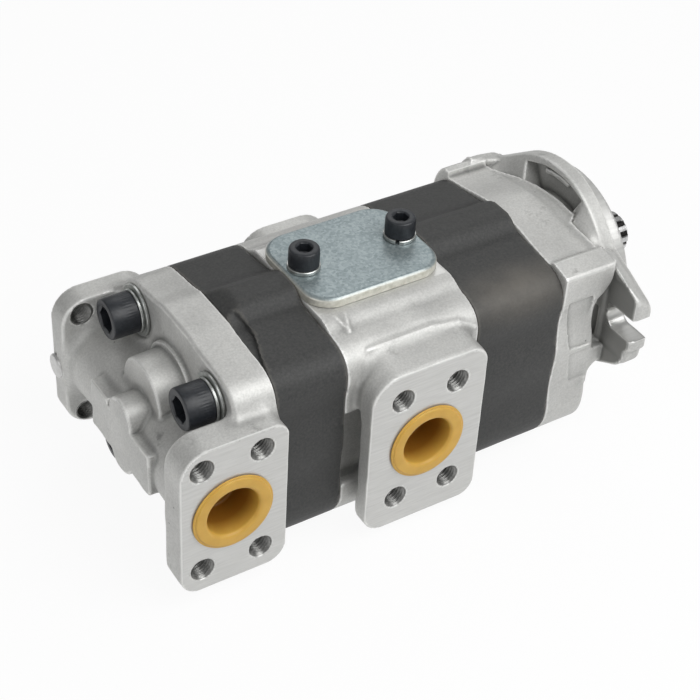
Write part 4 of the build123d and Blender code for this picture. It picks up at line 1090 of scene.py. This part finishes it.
def rings(profile, m=48, shapes=None):
    """Rings (n, m, 3) from (radius, height) pairs; shapes maps a row number to m factors on its radius."""
    turn = np.arange(m) * 2 * np.pi / m
    profile = np.asarray(profile, float)
    radius = np.repeat(profile[:, :1], m, axis=1)
    for row, factors in (shapes or {}).items():
        radius[row] *= factors
    height = np.repeat(profile[:, 1:], m, axis=1)
    return np.stack([radius * np.cos(turn), radius * np.sin(turn), height], axis=-1)


def hexagon(m):
    """Factors that turn a circle into the hexagon round it: 1 / cos(angle to the nearest flat)."""
    turn = np.arange(m) * 2 * np.pi / m
    return 1 / np.cos((turn + np.pi / 6) % (np.pi / 3) - np.pi / 6)


def rounded(points, r=0.4, n=4):
    """Profile with each inner corner cut by a quadratic curve r long on both sides."""
    p = np.asarray(points, float)
    out = [p[0]]
    for a, b, c in zip(p[:-2], p[1:-1], p[2:]):
        la, lc = np.linalg.norm(a - b), np.linalg.norm(c - b)
        ra, rc = min(r, 0.45 * la), min(r, 0.45 * lc)
        start, end = b + (a - b) / la * ra, b + (c - b) / lc * rc
        t = np.linspace(0, 1, n)[:, None]
        out.extend((1 - t) ** 2 * start + 2 * t * (1 - t) * b + t * t * end)
    out.append(p[-1])
    return np.array(out)


print("a ring of 6 points:", rings([(1.0, 0.0)], 6).shape)

# %% [markdown]
# Every turned part is drawn standing on z = 0, turned about its own axis if it has a gap to show, then
# laid along the axis where it belongs. Parts of one kind are gathered in one mesh.


# %% Place and gather
def spun(points, turn):
    """Points turned about the z axis: (x cos - y sin, x sin + y cos, z)."""
    c, s = math.cos(turn), math.sin(turn)
    return points @ np.array([[c, s, 0], [-s, c, 0], [0, 0, 1]])


def aim(points, axis, place):
    """Points drawn along +z, turned to run along x, -x, y, -y or z, then moved to place."""
    u, v, h = np.moveaxis(points, -1, 0)
    turned = {"x": (h, u, v), "-x": (-h, v, u), "y": (v, h, u), "-y": (u, -h, v), "z": (u, v, h)}[axis]
    return np.stack(turned, axis=-1) + np.asarray(place, float)


def gather(name, parts, material, crease=30):
    """One mesh object from (vertices, quads) pairs."""
    verts, quads, total = [], [], 0
    for v, q in parts:
        verts.append(v)
        quads.append(q + total)
        total += len(v)
    obj = make_mesh(name, np.vstack(verts), np.vstack(quads), crease=crease)
    obj.data.materials.append(material)
    print(name, total, "vertices")
    return obj


print("placing functions ready")

# %% [markdown]
# ## Socket head screws
# Four tie bolts run through the whole pump, and two short screws hold the plate. Only their heads show,
# each with a knurled side and a hexagon socket. A forged head has no sharp edge anywhere, so the profile
# takes small steps round each corner.


# %% Turn the screws
def cap_screw(head_r, head_h, socket, deep, shank_r, shank_long, m=96):
    """Rings of a socket head cap screw; its head stands on height 0 and its shank goes below."""
    tip = [(shank_r - 0.9, -shank_long), (shank_r, -shank_long + 0.9), (shank_r, -0.3), (shank_r + 0.4, 0.0)]
    side = [(head_r - 0.25, 0.0), (head_r, 0.25), (head_r, 0.5), (head_r, head_h * 0.3)]
    side += [(head_r, head_h * 0.6), (head_r, head_h - 1.35), (head_r - 0.12, head_h - 1.0)]
    crown = [(head_r - 0.12, head_h - 0.85), (head_r - 0.22, head_h - 0.5), (head_r - 0.5, head_h - 0.18)]
    crown += [(head_r - 0.95, head_h), (socket + 1.5, head_h), (socket * 1.155 + 0.45, head_h)]
    crown += [(socket * 1.155 + 0.1, head_h - 0.15)]
    hole = [(socket, head_h - 0.55), (socket, head_h - deep * 0.5), (socket, head_h - deep + 0.2)]
    hole += [(socket - 0.25, head_h - deep), (socket * 0.8, head_h - deep - 0.1)]
    drill = [(socket * 0.45, head_h - deep - 0.9)]
    profile = tip + side + crown + hole + drill
    knurl = 1 - 0.013 * (np.arange(m) % 2)
    shapes = {len(tip) + k: knurl for k in (2, 3, 4)}
    first = len(tip) + len(side) + len(crown)
    shapes.update({first + k: hexagon(m) for k in range(4)})
    return rings(profile, m, shapes)


bolt = cap_screw(9.0, 12.0, 5.0, 6.5, 6.0, 178.8)
bolt_parts = [skin(aim(bolt, "-x", (-198.8, by, bz))) for by, bz in bolts]
tie_bolts = gather("tie_bolt_heads", bolt_parts, oxide, 24)
screw = cap_screw(6.5, 8.0, 3.0, 4.5, 4.0, 20.5)
screw_parts = [skin(aim(screw, "z", (sx, 0.0, 40.0))) for sx in plate_screw_x]
plate_screws = gather("plate_screw_heads", screw_parts, oxide, 24)

# %% [markdown]
# ## Washers
# Under each bolt head lies a flat washer and a split spring washer. A spring washer is square wire wound
# to one open turn, so a rounded square is carried round and its ends stand a little apart. Nobody lines
# the gaps up, so each has its own angle.


# %% Wind the washers
def flat_washer(inner, outer, low, high, m=64):
    """Skin of a flat washer with broken edges, closed on itself."""
    e = 0.22
    profile = [(inner, high - e), (inner, low + e), (inner + e, low), (outer - e, low), (outer, low + e)]
    profile += [(outer, high - e), (outer - e, high), (inner + e, high)]
    return skin(rings(profile, m), wrap=True)


def split_washer(inner, outer, low, high, gap=5.0, rise=0.12, m=72):
    """Spring washer: a rounded rectangle carried round an open circle that climbs by rise at its ends."""
    e = 0.25
    corners = [(inner + e, high), (outer - e, high), (outer, high - e), (outer, low + e)]
    corners += [(outer - e, low), (inner + e, low), (inner, low + e), (inner, high - e)]
    section = np.array(corners)
    turn = np.radians(np.linspace(gap, 360 - gap, m))[:, None]
    lift = rise * (turn / np.pi - 1)
    r, h = section[:, 0][None, :], section[:, 1][None, :]
    return skin(np.stack([r * np.cos(turn), r * np.sin(turn), h + lift + 0 * turn], axis=-1))


washers = []
for (by, bz), turn in zip(bolts, (0.6, 2.2, 3.9, 5.3)):
    for verts, quads in (flat_washer(6.4, 11.3, 0.0, 1.25), split_washer(6.4, 9.5, 1.4, 2.65)):
        washers.append((aim(spun(verts, turn), "-x", (COVER_FACE, by, bz)), quads))
tie_washers = gather("tie_bolt_spring_washers", washers, bright)
washers = []
for sx, turn in zip(plate_screw_x, (1.0, 4.0)):
    verts, quads = split_washer(4.3, 7.0, 0.12, 1.88, 7.0, 0.1)
    washers.append((aim(spun(verts, turn), "z", (sx, 0.0, 38.0)), quads))
plate_washers = gather("plate_spring_washers", washers, bright)

# %% [markdown]
# ## The cover plate
# A press shears the plate from zinc plated sheet, which rolls its upper edge over a little. It is a stack
# of rounded rectangles: the corners keep their centres while the inset changes.


# %% Press the cover plate
def plate_rings(m=128):
    """Rings of the plate: a rounded rectangle, sheared at the side, with a soft upper edge."""
    half_long, half_wide, corner = 31.5, 25.0, 12.0
    turn = (np.arange(m) + 0.5) * 2 * np.pi / m
    profile = rounded([(-1.0, 33.52), (0.0, 33.6), (0.0, 36.9), (-1.1, 38.0), (-6.0, 38.0)], 0.5, 5)
    rows = []
    for inset, height in profile:
        u = half_long + inset - corner
        v = half_wide + inset - corner
        px = -113.5 + np.sign(np.cos(turn)) * u + corner * np.cos(turn)
        py = np.sign(np.sin(turn)) * v + corner * np.sin(turn)
        rows.append(np.stack([px, py, height + 0 * turn], axis=-1))
    return np.array(rows)


cover_plate = gather("cover_plate_pressed", [skin(plate_rings())], zinc, 50)

# %% [markdown]
# ## Threads
# Each port has four M10 threads. A liner sits in each hole: outside it is a plain cylinder sunk in the
# casting, inside it is the helical 60 degree profile with its lead-in chamfer. The casting's grid is too
# coarse for a 1.5 mm pitch, and a liner needs no cut in it.


# %% Cut the threads
def thread_liner(deep=18.0, pitch=1.5, crest=4.25, root=5.0, m=32, per_turn=10):
    """Skin of a liner from height 0 down; r = crest + (root - crest) * wave(h / pitch + angle)."""
    h = -np.arange(0.35, deep - 0.3, pitch / per_turn)[:, None]
    turn = (np.arange(m) * 2 * np.pi / m)[None, :]
    phase = (h / pitch + turn / (2 * np.pi)) % 1.0
    wave = np.clip(1.35 * (1 - np.abs(2 * phase - 1)) - 0.17, 0, 1)
    inner = np.maximum(crest + (root - crest) * wave, 5.6 + h)
    inner = np.minimum(inner, 5.25)
    height = h + 0 * turn
    tube = np.stack([inner * np.cos(turn), inner * np.sin(turn), height], axis=-1)
    shell = rings([(5.3, float(h[-1, 0])), (5.3, float(h[0, 0]))], m)
    return skin(np.concatenate([shell, tube]), wrap=True)


threads = {}
for (port, (cx, face)), deep in zip(PORTS.items(), (14.2, 11.2, 8.7, 9.2)):
    verts, quads = thread_liner(deep)
    places = [(cx + a, face, PORT_Z + b) for a, b in TAPS]
    liners = [(aim(verts, "-y" if face < 0 else "y", place), quads) for place in places]
    threads[port] = gather(port + "_threads", liners, cut_thread, 50)

# %% [markdown]
# ## Transport plugs
# Yellow moulded plugs keep dirt out of the ports: a thin flange, a raised ring on it and a tapered cup.
# Moulded walls are thin and all edges round, so the profile goes up the outside and down into the cup. A
# small screw plug closes the cross passage of the cover.


# %% Mould the plugs
def plug_rings(m=96):
    """Rings of a plug, flange seat at height 0: closed end, tapered body, flange, ring, lip and cup."""
    outside = [(11.0, -17.0), (11.8, -17.0), (12.55, -13.8), (12.6, -0.35), (13.2, 0.0), (16.9, 0.02)]
    outside += [(17.3, 0.34), (17.7, 0.34)]
    rim = [(17.8, 0.5), (17.8, 0.8), (17.5, 1.0), (17.0, 1.02), (16.85, 1.1), (16.7, 1.4), (16.3, 1.6)]
    face = [(13.2, 1.6), (12.3, 1.45), (11.75, 0.95), (11.4, 0.1), (10.95, -7.5), (10.55, -14.6)]
    cup = [(10.0, -15.35), (6.0, -15.4), (5.6, -15.1), (5.2, -15.1), (1.2, -15.1)]
    return rings(rounded(outside + rim + face + cup, 0.35, 3), m)


plugs = {}
for port, (cx, face) in PORTS.items():
    body = skin(aim(plug_rings(), "-y" if face < 0 else "y", (cx, face, PORT_Z)))
    plug = gather(port + "_plug_moulding", [body], plastic, 40)
    # deep marks how far a point lies inside the cup, for the painted shade there
    in_cup = disc(body[0][:, 0], body[0][:, 2], cx, PORT_Z, 0.0) < 11.7
    inward = (abs(face) - np.abs(body[0][:, 1])) * in_cup
    deep = np.clip((inward + 0.4) / 3.0, 0, 1).astype(np.float32)
    plug.data.attributes.new("deep", "FLOAT", "POINT").data.foreach_set("value", deep)
    plugs[port + "_plug"] = plug
small = [(4.1, -4.8), (4.5, -4.4), (4.5, 0.0), (5.5, 0.0), (5.5, 1.3), (5.1, 1.9), (4.3, 2.15), (1.5, 2.2)]
small = rings(rounded(small, 0.4, 4), 48)
passage_plug = gather("passage_plug_head", [skin(aim(small, "-x", (-223.0, 54.8, -19.0)))], turned, 40)

# %% [markdown]
# ## Hang everything on the frame
# Each piece rides on a body. A piece that stands for a CAD node replaces it. The threads replace nothing,
# because the CAD model has plain holes.

# %% Seat the pieces
castings = {
    "rear_cover": rear_cover,
    "centre_housing": centre,
    "front_flange": flange,
    "rear_gear_housing": rear_housing,
    "front_gear_housing": front_housing,
}
fasteners = {
    "tie_bolts": tie_bolts,
    "cover_plate_screws": plate_screws,
    "tie_bolt_washers": tie_washers,
    "cover_plate_washers": plate_washers,
    "passage_plug": passage_plug,
    "cover_plate": cover_plate,
}
slot_of = {part["node"]: part["material_slot"] for part in frame["record"]["subparts"]}
for node, piece in {**castings, **fasteners, **plugs}.items():
    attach(piece, "casing")
    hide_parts(node)
for piece in threads.values():
    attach(piece, "casing")
print("pieces:", len(castings) + len(fasteners) + len(plugs) + len(threads))

# %% [markdown]
# The gears, shafts, bushes and seals sit inside and are seen only when the pump is opened, apart from the
# end of the shaft. They keep the meshes of the CAD model and only take a finish.

# %% Finish the CAD nodes
finish = {
    "cast_aluminium": cast_metal,
    "cast_iron": iron,
    "zinc_steel": zinc,
    "bright_zinc": bright,
    "black_steel": oxide,
    "yellow_plastic": plastic,
    "plug_aluminium": turned,
    "ground_steel": ground,
    "bearing_bronze": bronze,
    "seal_rubber": rubber,
    "spring_steel": spring,
}
for node, solid in frame["nodes"].items():
    for place in solid.material_slots:
        place.material = splined if node == "drive_gear_shaft" else finish[slot_of[node]]
print("finished nodes:", len(frame["nodes"]))

# %% [markdown]
# ## Floor, lights and world
# The floor is pale and takes the shadow. To a camera, a mirror or glass it is mostly plain white, so the
# background stays white without more light on the pump.


# %% Lay the floor
def white_ray(tree):
    """1 for camera, glossy and transmission rays, 0 for the rays that light the object."""
    path = add_node(tree, "ShaderNodeLightPath").outputs
    seen = {0: path["Is Camera Ray"], 1: path["Is Glossy Ray"]}
    either = add_node(tree, "ShaderNodeMath", seen, operation="MAXIMUM").outputs[0]
    through = {0: either, 1: path["Is Transmission Ray"]}
    return add_node(tree, "ShaderNodeMath", through, operation="MAXIMUM").outputs[0]


FLOOR_Z, FLOOR_HALF = -64.3, 6000
corners = [(u * FLOOR_HALF, v * FLOOR_HALF, FLOOR_Z) for u, v in ((-1, -1), (1, -1), (1, 1), (-1, 1))]
floor = make_mesh("floor", np.array(corners), [[0, 1, 2, 3]], smooth=False)
floor_paint = bpy.data.materials.new("floor")
floor_paint.use_nodes = True
tree = floor_paint.node_tree
tree.nodes.clear()
share = times(tree, white_ray(tree), 0.93)
matt = add_node(tree, "ShaderNodeBsdfDiffuse", {"Color": (0.82, 0.82, 0.82, 1)}).outputs[0]
glow = add_node(tree, "ShaderNodeEmission", {"Color": (1, 1, 1, 1), "Strength": 1.0}).outputs[0]
both = add_node(tree, "ShaderNodeMixShader", {0: share, 1: matt, 2: glow}).outputs[0]
add_node(tree, "ShaderNodeOutputMaterial", {"Surface": both})
floor.data.materials.append(floor_paint)
print("floor at z", FLOOR_Z, "mm")

# %% [markdown]
# In the photograph one large soft light stands above the front, on the outlet side, and little comes from
# elsewhere. A large lamp gives broad highlights on the sandy shoulders; a small one would burn them out.


# %% Hang the lamps
def area_lamp(name, place, watts, size, target=(-90.0, 0.0, -10.0)):
    """Square soft lamp at place, in mm, turned to the target."""
    data = bpy.data.lights.new(name, "AREA")
    data.energy, data.size = watts, size / 1000
    obj = bpy.data.objects.new(name, data)
    bpy.context.scene.collection.objects.link(obj)
    turn = (Vector(target) - Vector(place)).to_track_quat("-Z", "Y").to_matrix().to_4x4()
    obj.matrix_world = Matrix.Translation(Vector(place) / 1000) @ turn
    print(name, "lamp", watts, "W")


area_lamp("key", (130.0, -500.0, 660.0), 5.8, 700, (-60.0, 0.0, 0.0))
area_lamp("rear", (-900.0, -300.0, 450.0), 1.4, 600)
area_lamp("far", (300.0, 700.0, 700.0), 1.5, 600)

# %% [markdown]
# The world fills the shadows. It is brighter towards the lamp side and above, like a room round a light
# tent, and plain white to the camera.

# %% Fill with the world
world = bpy.data.worlds.new("studio")
bpy.context.scene.world = world
world.use_nodes = True
tree = world.node_tree
tree.nodes.clear()
look = add_node(tree, "ShaderNodeTexCoord").outputs["Generated"]
toward = add_node(tree, "ShaderNodeVectorMath", {0: look, 1: (0.45, -0.55, 0.55)}, operation="DOT_PRODUCT")
sweep = {0: toward.outputs["Value"], 1: -1.0, 2: 1.0, 3: 0.15, 4: 0.48}
soft = add_node(tree, "ShaderNodeMapRange", sweep).outputs[0]
path = add_node(tree, "ShaderNodeLightPath").outputs
level = add_node(tree, "ShaderNodeMix", {0: path["Is Camera Ray"], 2: soft, 3: 1.0}).outputs[0]
sky = add_node(tree, "ShaderNodeBackground", {"Color": (1, 1, 1, 1), "Strength": level}).outputs[0]
add_node(tree, "ShaderNodeOutputWorld", {"Surface": sky})
bpy.context.scene.view_settings.view_transform = "Standard"
print("world:", world.name)
